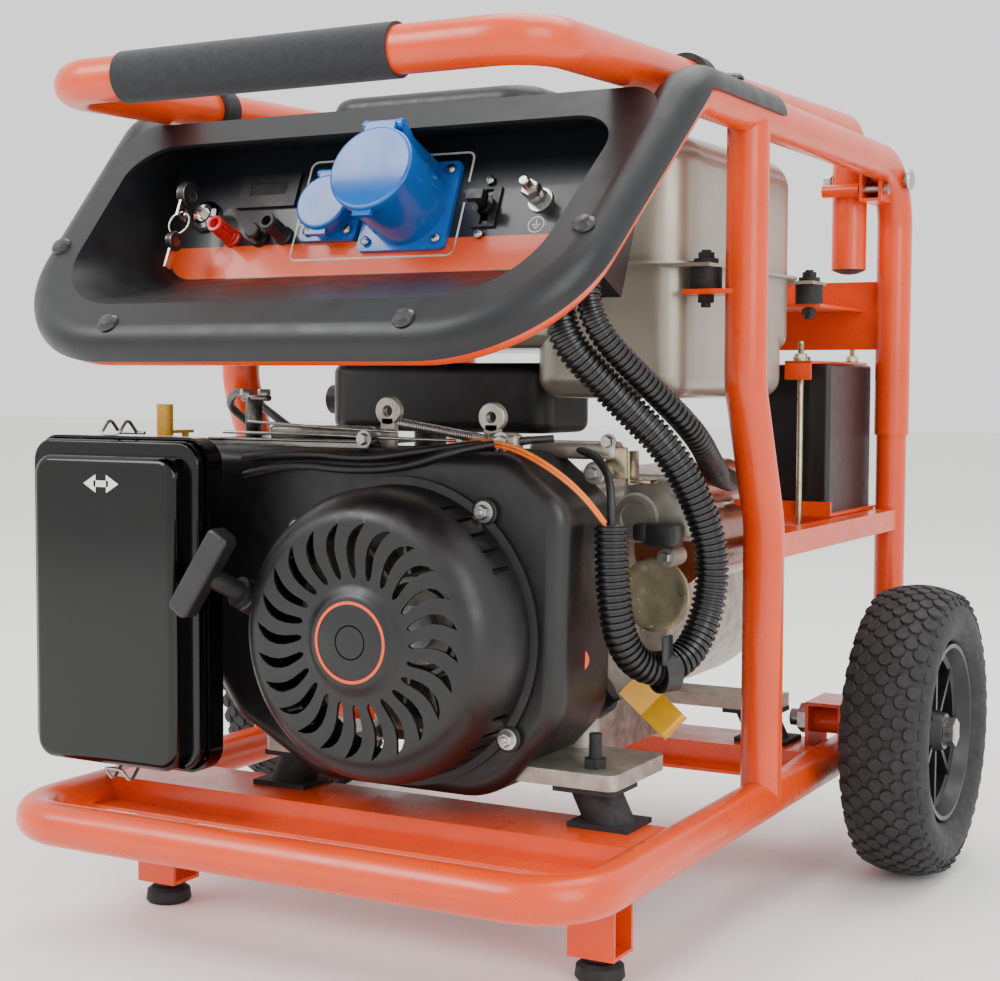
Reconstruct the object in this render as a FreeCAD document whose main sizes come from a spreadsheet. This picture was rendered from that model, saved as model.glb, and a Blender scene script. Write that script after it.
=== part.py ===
import FreeCAD, Part
import Sketcher
import math
import os

from FreeCAD import Placement, Rotation, Vector

# A portable generator on an open tube frame: petrol engine with recoil and electric start, alternator,
# fuel tank, battery, control panel, two wheels and a fold-over carrying handle.
# +Z is up, the control panel faces -Y, +X is on the right hand of someone who faces the panel.
# The origin is on the ground, under the middle of the machine.

doc = FreeCAD.newDocument("generator")
sheet = doc.addObject("Spreadsheet::Sheet", "Sizes")

# ---------------------------------------------------------------- driving dimensions, millimetres
DIMENSIONS = [
    ("tubeDia", 34, "outer diameter of the frame tube"),
    ("tubeWall", 2, "wall of the frame tube"),
    ("frameWidth", 498, "frame, from side tube axis to side tube axis"),
    ("frameFront", 351, "front tube axis in front of the origin"),
    ("frameRear", 364, "rear post axis behind the origin"),
    ("baseHeight", 95, "axis of the base tube above the ground"),
    ("topHeight", 655, "axis of the top side tubes above the ground"),
    ("postJoint", 390, "height where the upper loop is slipped onto the base tube"),
    ("swageStart", 200, "height above which the rear posts are swaged down to slip into the upper loop"),
    ("swageLength", 60, "how far the swaged posts reach into the upper loop"),
    ("baseBend", 50, "bend radius of the front base corners"),
    ("rearBend", 60, "bend radius of the rear corners"),
    ("panelBend", 55, "bend radius between side tube and panel tube"),
    ("panelCorner", 95, "bend radius of the lower panel corners"),
    ("panelDrop", 186, "axis of the lowest panel tube below the top side tubes"),
    ("panelNarrow", 28, "how far the panel tube closes in on each side at its foot"),
    ("uprightLow", 0, "front upright, distance behind the origin at its foot"),
    ("uprightJog", 47, "how far the front upright jogs forward on its way up"),
    ("jogLow", 325, "height where the jog starts"),
    ("jogHigh", 440, "height where the jog ends"),
    ("sheetSteel", 3, "sheet of the pressed steel pieces"),
    ("crossTop", 110, "top face of the hat-section cross members"),
    ("crossDrop", 22, "depth of the hat section"),
    ("crossCrown", 70, "width of the hat section's crown"),
    ("crossFlange", 24, "width of the hat section's flanges"),
    ("crossFront", 248, "front cross member, its front web in front of the origin"),
    ("crossRear", 130, "rear cross member, its front web behind the origin"),
    ("legSpread", 203, "leg centre to the middle of the machine"),
    ("legWidth", 38, "leg, across the machine"),
    ("legDepth", 34, "leg, along the machine"),
    ("legBottom", 18, "underside of the leg above the ground"),
    ("legSet", 18, "leg's front face behind the front web"),
    ("footRadius", 19, "rubber foot"),
    ("footHeight", 13, "rubber foot"),
    ("studRadius", 5, "threaded stud of the rubber foot"),
    ("wheelDia", 260, "pneumatic wheel"),
    ("tyreWidth", 77, "pneumatic wheel"),
    ("rimDia", 158, "outside of the rim's bead"),
    ("rimWidth", 60, "rim, across"),
    ("wheelGap", 23, "frame tube to tyre"),
    ("axleSet", 189, "wheel axle behind the origin"),
    ("axleRadius", 8, "wheel axle bolt"),
    ("axleFit", 0.05, "radial running clearance of the wheel hub on the axle"),
    ("axleRise", 55, "axle bracket above the base tube axis"),
    ("pivotSet", 340, "handle pivot behind the origin"),
    ("pivotDrop", 15, "handle pivot below the axis of the top side tubes"),
    ("pivotRadius", 5, "handle pivot bolt"),
    ("pivotFit", 0.05, "radial running clearance of the handle on its bolt"),
    ("handleInset", 39, "handle arm axis inside the side tube axis"),
    ("handleRise", 48, "handle arm axis above the pivot, at the back"),
    ("handleDip", 19, "how far the arms come down from back to front"),
    ("handleReach", 673, "front bar of the handle in front of the pivot"),
    ("handleBend", 38, "bend radius of the handle"),
    ("handleStub", 86, "handle tube below the pivot"),
    ("gripLength", 241, "foam grip"),
    ("gripOffset", 19, "how far left of the middle the foam grip sits"),
    ("gripWall", 2.5, "foam grip"),
    ("pinRadius", 4, "handle lock pin"),
    ("pinTravel", 15, "handle lock pin"),
    ("crankSide", 42, "crankshaft axis right of the middle"),
    ("crankHeight", 250, "crankshaft axis above the ground"),
    ("crankRadius", 17.5, "crankshaft"),
    ("shroudFront", 231, "front of the blower shroud in front of the origin"),
    ("shroudDepth", 84, "blower shroud, front to back"),
    ("shroudWall", 2.5, "blower shroud"),
    ("recoilRim", 113, "recoil cover, radius of its rim"),
    ("recoilFace", 92, "recoil cover, radius of its face"),
    ("recoilDepth", 68, "recoil cover, rim to face"),
    ("recoilWall", 3, "recoil cover"),
    ("slotCount", 24, "air slots in the recoil cover's face"),
    ("footBar", 140, "underside of the engine's foot bars above the ground"),
    ("rubberRadius", 19, "engine rubber mount"),
    ("tankWidth", 400, "fuel tank body"),
    ("tankFront", 62, "front of the fuel tank in front of the origin"),
    ("tankLength", 284, "fuel tank body"),
    ("tankDrop", 9, "top of the fuel tank below the axis of the top side tubes"),
    ("tankUpperDepth", 108, "fuel tank, top to seam"),
    ("tankShallowDepth", 68, "fuel tank, seam to the underside of its shallow half"),
    ("tankDeepDepth", 110, "fuel tank, seam to the underside of its deep half"),
    ("tankSheet", 1.2, "fuel tank sheet"),
    ("tankFlange", 9, "fuel tank seam flange"),
    ("batteryWidth", 87, "battery, across the machine"),
    ("batteryLength", 134, "battery, along the machine"),
    ("batteryHeight", 140, "battery without its terminals"),
    ("shelfTop", 316, "top of the battery shelf"),
    ("shelfBar", 20, "square tube of the battery shelf"),
    ("plateWidth", 400, "control plate, along its lower edge"),
    ("plateFlare", 24, "how much further out the control plate's upper corners stand, each side"),
    ("plateHeight", 119, "control plate, along its slope"),
    ("plateDrop", 131, "lower edge of the control plate below the axis of the top side tubes"),
    ("plateSet", 214, "lower edge of the control plate in front of the origin"),
    ("plateLean", 23.5, "lean of the control plate, degrees"),
    ("plateSheet", 2, "control plate"),
    ("bezelWall", 3, "wall of the panel bezel"),
    ("filterWidth", 144, "air filter cover"),
    ("filterHeight", 246, "air filter cover"),
    ("filterDepth", 24, "air filter cover, lip to face"),
    ("filterFront", 312, "face of the air filter in front of the origin"),
    ("filterSide", 187, "middle of the air filter, left of the origin"),
    ("filterFoot", 136, "underside of the air filter cover above the ground"),
    ("filterLip", 12, "lip round the air filter cover"),
    ("conduitRadius", 13, "corrugated wiring conduit"),
]
for row, (alias, value, note) in enumerate(DIMENSIONS, 1):
    sheet.set(f"A{row}", alias)
    sheet.set(f"B{row}", str(value))
    sheet.setAlias(f"B{row}", alias)
    sheet.set(f"C{row}", note)
doc.recompute()


class Size:
    """A length that knows its value and the sheet expression that it comes from."""

    def __init__(self, value, text):
        self.value, self.text = float(value), text

    def __float__(self):
        return self.value

    def __neg__(self):
        return Size(-self.value, f"(-1 * {self.text})")

    def __add__(self, other):
        return Size(self.value + float(other), f"({self.text} + {words(other)})")

    def __radd__(self, other):
        return Size(float(other) + self.value, f"({words(other)} + {self.text})")

    def __sub__(self, other):
        return Size(self.value - float(other), f"({self.text} - {words(other)})")

    def __rsub__(self, other):
        return Size(float(other) - self.value, f"({words(other)} - {self.text})")

    def __mul__(self, other):
        return Size(self.value * float(other), f"({self.text} * {words(other)})")

    __rmul__ = __mul__

    def __truediv__(self, other):
        return Size(self.value / float(other), f"({self.text} / {words(other)})")


def words(number):
    """The text of a size or of a plain number, as an expression takes it."""
    return number.text if isinstance(number, Size) else f"{float(number):.6f}"


class Sizes:
    """Every cell of the sheet as a Size, by its alias."""


S = Sizes()
for alias, value, note in DIMENSIONS:
    setattr(S, alias, Size(sheet.get(alias), f"Sizes.{alias}"))

# the panel, the handle and the tank hang from the top side tubes, so their heights follow them
S.panelLow = S.topHeight - S.panelDrop
S.pivotHeight = S.topHeight - S.pivotDrop
S.plateFoot = S.topHeight - S.plateDrop
S.tankTop = S.topHeight - S.tankDrop
S.tankSeam = S.tankTop - S.tankUpperDepth
S.tankShallow = S.tankSeam - S.tankShallowDepth
S.tankDeep = S.tankSeam - S.tankDeepDepth

X_AXIS, Y_AXIS, Z_AXIS = Vector(1, 0, 0), Vector(0, 1, 0), Vector(0, 0, 1)
UPRIGHT = Rotation()
FACING_FRONT = Rotation(X_AXIS, 90)  # a piece's own +Z then points to -Y
FACING_BACK = Rotation(X_AXIS, -90)
FACING_RIGHT = Rotation(Y_AXIS, 90)
FACING_LEFT = Rotation(Y_AXIS, -90)
parts = {}  # node name to finished object


# ---------------------------------------------------------------- helpers
def vector(point):
    return Vector(*[float(c) for c in point])


def bind(item, prop, size):
    """Gives a property its size, tied to the sheet where the size comes from there."""
    if isinstance(size, Size):
        item.setExpression(prop, size.text)
    else:
        setattr(item, prop, size)


def place(item, at=(0, 0, 0), turn=UPRIGHT):
    item.Placement = Placement(vector(at), turn)
    for letter, size in zip("xyz", at):
        if isinstance(size, Size):
            item.setExpression(f"Placement.Base.{letter}", size.text)
    return item


def box(name, size, at, turn=UPRIGHT):
    item = doc.addObject("Part::Box", name)
    for prop, length in zip(("Length", "Width", "Height"), size):
        bind(item, prop, length)
    return place(item, at, turn)


def middle_box(name, size, at):
    """A box whose place is the middle of its underside."""
    return box(name, size, (at[0] - size[0] / 2, at[1] - size[1] / 2, at[2]))


def rod(name, radius, length, at, turn=UPRIGHT):
    item = doc.addObject("Part::Cylinder", name)
    bind(item, "Radius", radius)
    bind(item, "Height", length)
    return place(item, at, turn)


def nut(name, radius, thick, at, turn=UPRIGHT):
    """A hexagon, radius from its middle to a corner."""
    item = doc.addObject("Part::Prism", name)
    item.Polygon = 6
    bind(item, "Circumradius", radius)
    bind(item, "Height", thick)
    return place(item, at, turn)


def cut(name, base, *tools):
    item = doc.addObject("Part::Cut", name)
    item.Base = base
    item.Tool = tools[0] if len(tools) == 1 else compound(name + "Tools", *tools)
    return item


def fuse(name, *pieces):
    item = doc.addObject("Part::MultiFuse", name)
    item.Shapes = list(pieces)
    item.Refine = True
    return item


def compound(name, *pieces):
    item = doc.addObject("Part::Compound", name)
    item.Links = list(pieces)
    return item


def solid(name, shape):
    """A piece whose shape is worked out by Part's own functions."""
    item = doc.addObject("Part::Feature", name)
    item.Shape = shape
    return item


def node(label, item):
    """Marks a finished sub-part."""
    item.Label = label
    parts[label] = item
    return item


def outline_sketch(body, name, role, points):
    """A closed outline of straight lines whose corners are tied to the sheet."""
    sketch = body.newObject("Sketcher::SketchObject", name + "Outline")
    plane = [f for f in body.Origin.OriginFeatures if f.Role == role][0]
    sketch.AttachmentSupport = [(plane, "")]
    sketch.MapMode = "FlatFace"
    corners = [Vector(float(a), float(b), 0) for a, b in points]
    count = len(corners)
    for i in range(count):
        sketch.addGeometry(Part.LineSegment(corners[i], corners[(i + 1) % count]), False)
    for i in range(count):
        sketch.addConstraint(Sketcher.Constraint("Coincident", i, 2, (i + 1) % count, 1))
    for i, (a, b) in enumerate(points):
        for kind, length in (("DistanceX", a), ("DistanceY", b)):
            number = sketch.addConstraint(Sketcher.Constraint(kind, i, 1, float(length)))
            if isinstance(length, Size):
                sketch.setExpression(f"Constraints[{number}]", length.text)
    return sketch


def turned(name, points, at=(0, 0, 0), turn=UPRIGHT):
    """A turned piece: (radius, height) corners, revolved about the piece's own Z."""
    body = doc.addObject("PartDesign::Body", name)
    sketch = outline_sketch(body, name, "XZ_Plane", points)
    revolution = body.newObject("PartDesign::Revolution", name + "Turning")
    revolution.Profile = sketch
    revolution.ReferenceAxis = (sketch, ["V_Axis"])
    revolution.Angle = 360
    body.Tip = revolution
    return place(body, at, turn)


def padded(name, points, height, at=(0, 0, 0), turn=UPRIGHT, fillet=0):
    """A straight extrusion of an outline along the piece's own Z, its upright corners rounded."""
    body = doc.addObject("PartDesign::Body", name)
    sketch = outline_sketch(body, name, "XY_Plane", points)
    pad = body.newObject("PartDesign::Pad", name + "Pad")
    pad.Profile = sketch
    bind(pad, "Length", height)
    body.Tip = pad
    if fillet:
        doc.recompute()
        upright = [
            f"Edge{i}"
            for i, e in enumerate(pad.Shape.Edges, 1)
            if abs(e.tangentAt(e.FirstParameter).z) > 0.999
        ]
        rounding = body.newObject("PartDesign::Fillet", name + "Rounding")
        rounding.Base = (pad, upright)
        rounding.Radius = fillet
        body.Tip = rounding
    return place(body, at, turn)


def rectangle(width, height):
    return [
        (-width / 2, -height / 2),
        (width / 2, -height / 2),
        (width / 2, height / 2),
        (-width / 2, height / 2),
    ]


def rounded_block(size, at, corner, edge=0, edges="all"):
    """A block with rounded upright corners, then rounded top and bottom edges."""
    length, width, height = [float(s) for s in size]
    block = Part.makeBox(length, width, height, vector(at))
    upright = [e for e in block.Edges if abs(e.tangentAt(0).z) > 0.99]
    block = block.makeFillet(float(corner), upright)
    if edge:
        top = block.BoundBox.ZMax
        low = block.BoundBox.ZMin
        wanted = {"all": (top, low), "top": (top,), "bottom": (low,)}[edges]
        rims = [
            e
            for e in block.Edges
            if any(abs(e.BoundBox.ZMin - z) + abs(e.BoundBox.ZMax - z) < 0.01 for z in wanted)
        ]
        block = block.makeFillet(float(edge), rims)
    return block


def bent_path(points, radii):
    """Straight runs joined by tangent arcs; one radius for each inner corner."""
    points = [vector(p) for p in points]
    edges, start = [], points[0]
    for i in range(1, len(points) - 1):
        before = (points[i - 1] - points[i]).normalize()
        after = (points[i + 1] - points[i]).normalize()
        half = before.getAngle(after) / 2
        reach = float(radii[i - 1]) / math.tan(half)
        first, last = points[i] + before * reach, points[i] + after * reach
        inward = (before + after).normalize()
        centre = points[i] + inward * (float(radii[i - 1]) / math.sin(half))
        crown = centre - inward * float(radii[i - 1])
        edges.append(Part.LineSegment(start, first).toShape())
        edges.append(Part.Arc(first, crown, last).toShape())
        start = last
    edges.append(Part.LineSegment(start, points[-1]).toShape())
    return Part.Wire(edges)


def swept(path, radius):
    """A round bar along a path."""
    start = path.Edges[0]
    along = start.tangentAt(start.FirstParameter)
    circle = Part.Wire(Part.makeCircle(float(radius), start.valueAt(start.FirstParameter), along))
    return path.makePipeShell([circle], True, True)


def bent_tube(path, outer, wall):
    return swept(path, outer).cut(swept(path, float(outer) - float(wall)))


def largest(shape):
    return max(shape.Solids, key=lambda s: s.Volume)


def mirrored(shape):
    return shape.mirror(Vector(0, 0, 0), X_AXIS)


def both_sides(name, item):
    """The piece and its mirror image on the other side of the machine."""
    twin = doc.addObject("Part::Mirroring", name + "Twin")
    twin.Source = item
    twin.Normal = X_AXIS
    return compound(name, item, twin)


# ---------------------------------------------------------------- the tube frame
half_width = S.frameWidth / 2
tube_radius = S.tubeDia / 2
base_top = S.baseHeight + tube_radius


def base_path():
    """The base tube's route, from the top of one rear post to the top of the other."""
    w, front, rear = float(half_width), -float(S.frameFront), float(S.frameRear)
    low, joint = float(S.baseHeight), float(S.swageStart)
    points = [
        (w, rear, joint),
        (w, rear, low),
        (w, front, low),
        (-w, front, low),
        (-w, rear, low),
        (-w, rear, joint),
    ]
    return bent_path(points, [S.rearBend, S.baseBend, S.baseBend, S.rearBend])


def loop_path():
    w, rear = float(half_width), float(S.frameRear)
    top, joint, low = float(S.topHeight), float(S.postJoint), float(S.panelLow)
    narrow = w - float(S.panelNarrow)
    turn = float(panel_turn)
    foot = turn - (top - low)  # the panel leans at 45 degrees
    points = [
        (w, rear, joint),
        (w, rear, top),
        (w, turn, top),
        (narrow, foot, low),
        (-narrow, foot, low),
        (-w, turn, top),
        (-w, rear, top),
        (-w, rear, joint),
    ]
    corner = S.panelCorner
    return bent_path(points, [S.rearBend, S.panelBend, corner, corner, S.panelBend, S.rearBend])


panel_foot = -S.frameFront - 4  # the lowest panel tube stands just proud of the base
panel_turn = panel_foot + (S.topHeight - S.panelLow)


def tube_frame():
    wall, outer = S.tubeWall, tube_radius
    slim = outer - wall - 0.2
    height = S.postJoint + S.swageLength - S.swageStart
    post = turned(
        "SwagedPost",
        [
            (outer - wall, 0),
            (outer, 0),
            (slim, 14),
            (slim, height),
            (slim - wall, height),
            (slim - wall, 14),
        ],
        (half_width, S.frameRear, S.swageStart),
    )
    twin = doc.addObject("Part::Mirroring", "SwagedPostTwin")
    twin.Source = post
    twin.Normal = X_AXIS
    bent = solid("BentBase", bent_tube(base_path(), outer, wall))
    node("base_tube", fuse("BaseTube", bent, post, twin))
    pivot = Part.makeCylinder(
        float(S.pivotRadius) + 0.2, 700, Vector(-350, float(S.pivotSet), float(S.pivotHeight)), X_AXIS
    )
    node("upper_loop", solid("UpperLoop", bent_tube(loop_path(), outer, wall).cut(pivot)))


def front_uprights():
    w, foot, head = float(half_width), float(S.uprightLow), float(S.uprightLow - S.uprightJog)
    points = [
        (w, foot, float(S.baseHeight)),
        (w, foot, float(S.jogLow)),
        (w, head, float(S.jogHigh)),
        (w, head, float(S.topHeight) - 8),
    ]
    upright = bent_tube(bent_path(points, [S.rearBend, S.rearBend]), tube_radius, S.tubeWall)
    for height in (S.baseHeight, S.topHeight):
        side_tube = Part.makeCylinder(float(tube_radius), 400, Vector(w, -200, float(height)), Y_AXIS)
        upright = upright.cut(side_tube)
    upright = largest(upright)
    node("front_uprights", solid("FrontUprights", Part.makeCompound([upright, mirrored(upright)])))


def hat_section(name, front_web, length):
    """The pressed cross member, extruded across the machine; its own X is along the machine."""
    crown, flange, drop, sheet_ = S.crossCrown, S.crossFlange, S.crossDrop, S.sheetSteel
    points = [
        (-flange, 0),
        (sheet_, 0),
        (sheet_, drop - sheet_),
        (crown - sheet_, drop - sheet_),
        (crown - sheet_, 0),
        (crown + flange, 0),
        (crown + flange, sheet_),
        (crown, sheet_),
        (crown, drop),
        (0, drop),
        (0, sheet_),
        (-flange, sheet_),
    ]
    turn = Rotation(Vector(0, 1, 0), Vector(0, 0, 1), Vector(1, 0, 0), "ZXY")
    return padded(name, points, length, (-length / 2, front_web, S.crossTop - drop), turn)


def side_tubes(name):
    """The two base tubes as solid bars, to cope what is welded to them."""
    span = S.frameFront + S.frameRear
    bars = []
    for tag, x in (("Right", half_width), ("Left", -half_width)):
        bars.append(rod(name + tag, tube_radius, span, (x, S.frameRear, S.baseHeight), FACING_FRONT))
    return compound(name, *bars)


def cross_members():
    length = S.frameWidth - tube_radius
    front_web, rear_web = -S.crossFront, S.crossRear
    front = cut("FrontCross", hat_section("FrontHat", front_web, length), side_tubes("FrontCope"))
    leg_height = S.crossTop - S.sheetSteel - S.legBottom
    leg_at = (S.legSpread, front_web + S.legSet + S.legDepth / 2, S.legBottom)
    outer = middle_box("LegOuter", (S.legWidth, S.legDepth, leg_height), leg_at)
    inner = middle_box(
        "LegInner",
        (S.legWidth + 2, S.legDepth - S.sheetSteel * 2, leg_height - S.sheetSteel * 2),
        (leg_at[0], leg_at[1], S.legBottom + S.sheetSteel),
    )
    hole = rod("LegHole", S.studRadius + 0.3, S.sheetSteel + 2, (leg_at[0], leg_at[1], S.legBottom - 1))
    legs = both_sides("Legs", cut("Leg", outer, inner, hole))
    seat = middle_box("AxleSeat", (tube_radius * 2, 56, 60), (half_width, S.axleSet, S.baseHeight - 20))
    rear_hat = hat_section("RearHat", rear_web, length)
    rear = cut("RearCross", rear_hat, side_tubes("RearCope"), both_sides("AxleSeats", seat))
    node("crossmembers", compound("CrossMembers", front, rear, legs))
    stud_top = S.legBottom + S.sheetSteel + 14
    foot = turned(
        "Foot",
        [
            (0, 0),
            (S.footRadius - 1.5, 0),
            (S.footRadius, 2),
            (S.footRadius - 1, S.footHeight - 3),
            (S.footRadius - 5, S.footHeight),
            (S.studRadius + 5, S.footHeight),
            (S.studRadius + 4, S.legBottom),
            (S.studRadius, S.legBottom),
            (S.studRadius, stud_top),
            (0, stud_top),
        ],
        (leg_at[0], leg_at[1], 0),
    )
    node("rubber_feet", both_sides("Feet", foot))


# ---------------------------------------------------------------- wheels
wheel_middle = half_width + tube_radius + S.wheelGap + S.tyreWidth / 2
axle_height = S.wheelDia / 2


def wheels():
    r, half = S.wheelDia / 2, S.tyreWidth / 2
    bead, rim_half = S.rimDia / 2, S.rimWidth / 2
    hub_bore = S.axleRadius + S.axleFit
    tyre_points = [
        (bead, -rim_half + 6),
        (bead + 6, -rim_half - 2),
        (bead + 14, -half + 3),
        (r - 30, -half),
        (r - 14, -half + 5),
        (r - 4, -half + 18),
        (r, -half + 34),
        (r, half - 34),
        (r - 4, half - 18),
        (r - 14, half - 5),
        (r - 30, half),
        (bead + 14, half - 3),
        (bead + 6, rim_half + 2),
        (bead, rim_half - 6),
        (bead + 4, rim_half - 10),
        (bead + 26, rim_half),
        (r - 20, half - 18),
        (r - 9, half - 34),
        (r - 9, -half + 34),
        (r - 20, -half + 18),
        (bead + 26, -rim_half),
        (bead + 4, -rim_half + 10),
    ]
    rim_points = [
        (bead + 3, rim_half - 9.5),
        (bead - 0.2, rim_half - 6),
        (bead - 0.2, rim_half),
        (bead - 4, rim_half),
        (bead - 9, rim_half - 12),
        (bead - 14, rim_half - 14),
        (bead - 14, -rim_half + 14),
        (bead - 9, -rim_half + 12),
        (bead - 4, -rim_half),
        (bead - 0.2, -rim_half),
        (bead - 0.2, -rim_half + 6),
        (bead + 3, -rim_half + 9.5),
        (bead - 4, -rim_half + 16),
        (bead - 10, -rim_half + 18),
        (bead - 10, rim_half - 18),
        (bead - 4, rim_half - 16),
    ]
    for side, sign, facing in (("right", 1, FACING_RIGHT), ("left", -1, FACING_LEFT)):
        at = (wheel_middle * sign, S.axleSet, axle_height)
        tag = side.capitalize()
        node(f"tyre_{side}", turned("Tyre" + tag, tyre_points, at, facing))
        barrel = turned("Barrel" + tag, rim_points, at, facing)
        web = turned(
            "Web" + tag,
            [(19, -4), (bead - 12, -4), (bead - 12, 2), (19, 2)],
            at,
            facing,
        )
        hub = turned(
            "Hub" + tag,
            [
                (hub_bore, -half + 2),
                (16, -half + 2),
                (20, -4),
                (20, 14),
                (16, half - 12),
                (hub_bore, half - 12),
            ],
            at,
            facing,
        )
        ribs = []
        for i in range(8):
            spoke = Rotation(X_AXIS, i * 45.0)
            start = vector(at) + spoke.multVec(Vector(0, 18, -2.5))
            length = float(bead) - 12 - 18
            rib = box(
                f"Rib{tag}{i}",
                (22, length, 5),
                (start.x - 4 if sign > 0 else start.x - 18, start.y, start.z),
            )
            rib.Placement = Placement(rib.Placement.Base, spoke)
            ribs.append(rib)
        node(f"rim_{side}", fuse("Rim" + tag, barrel, web, hub, *ribs))


def axle_parts():
    """Upturned channels on the base tubes carry a long bolt, on which each wheel turns."""
    inner = half_width - tube_radius
    outer = half_width + tube_radius
    top = S.baseHeight + S.axleRise
    length = 56
    outside = middle_box(
        "AxleChannelOuter",
        (outer - inner, length, top - S.baseHeight),
        (half_width, S.axleSet, S.baseHeight),
    )
    inside = middle_box(
        "AxleChannelInner",
        (outer - inner - S.sheetSteel * 2, length + 2, top - S.baseHeight - S.sheetSteel),
        (half_width, S.axleSet, S.baseHeight),
    )
    saddle = rod("AxleSaddle", tube_radius, 200, (half_width, S.axleSet + 100, S.baseHeight), FACING_FRONT)
    bore = rod("AxleBore", S.axleRadius + 0.2, 80, (inner - 20, S.axleSet, axle_height), FACING_RIGHT)
    channel = cut("AxleChannel", outside, inside, saddle, bore)
    sleeve_outer = rod(
        "AxleSleeveOuter",
        S.axleRadius + 4,
        outer - inner - S.sheetSteel * 2,
        (inner + S.sheetSteel, S.axleSet, axle_height),
        FACING_RIGHT,
    )
    sleeve = cut("AxleSleeve", sleeve_outer, bore, saddle)
    return fuse("AxleBracket", channel, sleeve)


def axle_bolt():
    inner = half_width - tube_radius
    hub_end = wheel_middle + S.tyreWidth / 2 - 12
    start = inner - 22
    shank = rod(
        "AxleShank", S.axleRadius, hub_end + 10 - start, (start, S.axleSet, axle_height), FACING_RIGHT
    )
    lock = nut("AxleNut", 14, 13, (inner - 13, S.axleSet, axle_height), FACING_RIGHT)
    gap_start = half_width + tube_radius
    gap_end = wheel_middle - S.tyreWidth / 2 + 2
    collar = rod(
        "AxleCollar", 14, gap_end - gap_start - 0.3, (gap_start, S.axleSet, axle_height), FACING_RIGHT
    )
    head = nut("AxleHead", 13, 9, (hub_end + 0.4, S.axleSet, axle_height), FACING_RIGHT)
    return fuse("AxleBolt", shank, lock, collar, head)


# ---------------------------------------------------------------- carrying handle
arm_side = half_width - S.handleInset
handle_front = S.pivotSet - S.handleReach
handle_back_height = S.pivotHeight + S.handleRise
handle_front_height = handle_back_height - S.handleDip


def handle():
    arm, back = float(arm_side), float(S.pivotSet)
    low = float(S.pivotHeight - S.handleStub)
    high, dip, front = float(handle_back_height), float(handle_front_height), float(handle_front)
    points = [
        (arm, back, low),
        (arm, back, high),
        (arm, front, dip),
        (-arm, front, dip),
        (-arm, back, high),
        (-arm, back, low),
    ]
    bend = S.handleBend
    path = bent_path(points, [bend * 0.8, bend, bend, bend * 0.8])
    tube = bent_tube(path, tube_radius, S.tubeWall)
    bolt = Part.makeCylinder(
        float(S.pivotRadius + S.pivotFit),
        2 * arm + 80,
        Vector(-arm - 40, back, float(S.pivotHeight)),
        X_AXIS,
    )
    tube = tube.cut(bolt)
    # a bored lug on the front of each stub takes the lock pin
    lug_y = back - float(tube_radius) - float(S.pinRadius) - 1.5
    lug_from, lug_to = arm - 20, arm + float(tube_radius)
    lug = Part.makeCylinder(
        float(S.pinRadius) + 2.5, lug_to - lug_from, Vector(lug_from, lug_y, lock_height), X_AXIS
    )
    weld = Part.makeBox(lug_to - lug_from, 8, 4, Vector(lug_from, lug_y, lock_height - 2))
    lug = lug.fuse(weld).cut(swept(path, float(tube_radius) - 0.5))
    hole = Part.makeCylinder(
        float(S.pinRadius) + 0.3,
        float(S.pinTravel) + 4,
        Vector(lug_to - float(S.pinTravel) - 3, lug_y, lock_height),
        X_AXIS,
    )
    lug = largest(lug).cut(hole)
    tube = tube.fuse([lug, mirrored(lug)]).removeSplitter()
    node("handle_tube", solid("HandleTube", tube))
    foam_outer = rod(
        "FoamOuter",
        tube_radius + S.gripWall,
        S.gripLength,
        (-S.gripLength / 2 - S.gripOffset, handle_front, handle_front_height),
        FACING_RIGHT,
    )
    foam_inner = rod(
        "FoamInner",
        tube_radius,
        S.gripLength,
        (-S.gripLength / 2 - S.gripOffset, handle_front, handle_front_height),
        FACING_RIGHT,
    )
    foam = cut("FoamGrip", foam_outer, foam_inner)
    stub_foot = S.pivotHeight - S.handleStub
    plug = turned(
        "StubPlug",
        [
            (0, -5),
            (8, -4),
            (tube_radius - 2.5, -1.5),
            (tube_radius, 0),
            (tube_radius - S.tubeWall - 0.2, 0),
            (tube_radius - S.tubeWall - 0.2, 14),
            (0, 14),
        ],
        (arm_side, S.pivotSet, stub_foot),
    )
    node("handle_grip", compound("HandleGrip", foam, both_sides("StubPlugs", plug)))


lock_height = float(S.pivotHeight - 10)
lock_set = S.pivotSet - tube_radius - S.pinRadius - 1.5
plate_inner = arm_side + tube_radius + 2
plate_outer = half_width - 1


def handle_bracket():
    """Two upright cheeks and a floor, welded between the rear bend and the handle stub."""
    cheeks = []
    low, high = S.pivotHeight - 22, S.pivotHeight + 10
    front, depth = lock_set - 9, S.frameRear - lock_set + 12
    for tag, x in (("Inner", plate_inner), ("Outer", plate_outer)):
        cheeks.append(box("Cheek" + tag, (S.sheetSteel, depth, high - low), (x, front, low)))
    floor = box("CheekFloor", (plate_outer - plate_inner, depth, S.sheetSteel), (plate_inner, front, low))
    bore = rod(
        "CheekPivot", S.pivotRadius + 0.2, 120, (plate_inner - 20, S.pivotSet, S.pivotHeight), FACING_RIGHT
    )
    pin_bore = rod(
        "CheekPin", S.pinRadius + 0.3, 120, (plate_inner - 20, lock_set, S.pivotHeight - 10), FACING_RIGHT
    )
    doc.recompute()
    frame_bar = solid("LoopBar", swept(loop_path(), tube_radius))
    return cut("HandleBracket", fuse("Cheeks", *cheeks, floor), bore, pin_bore, frame_bar)


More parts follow.
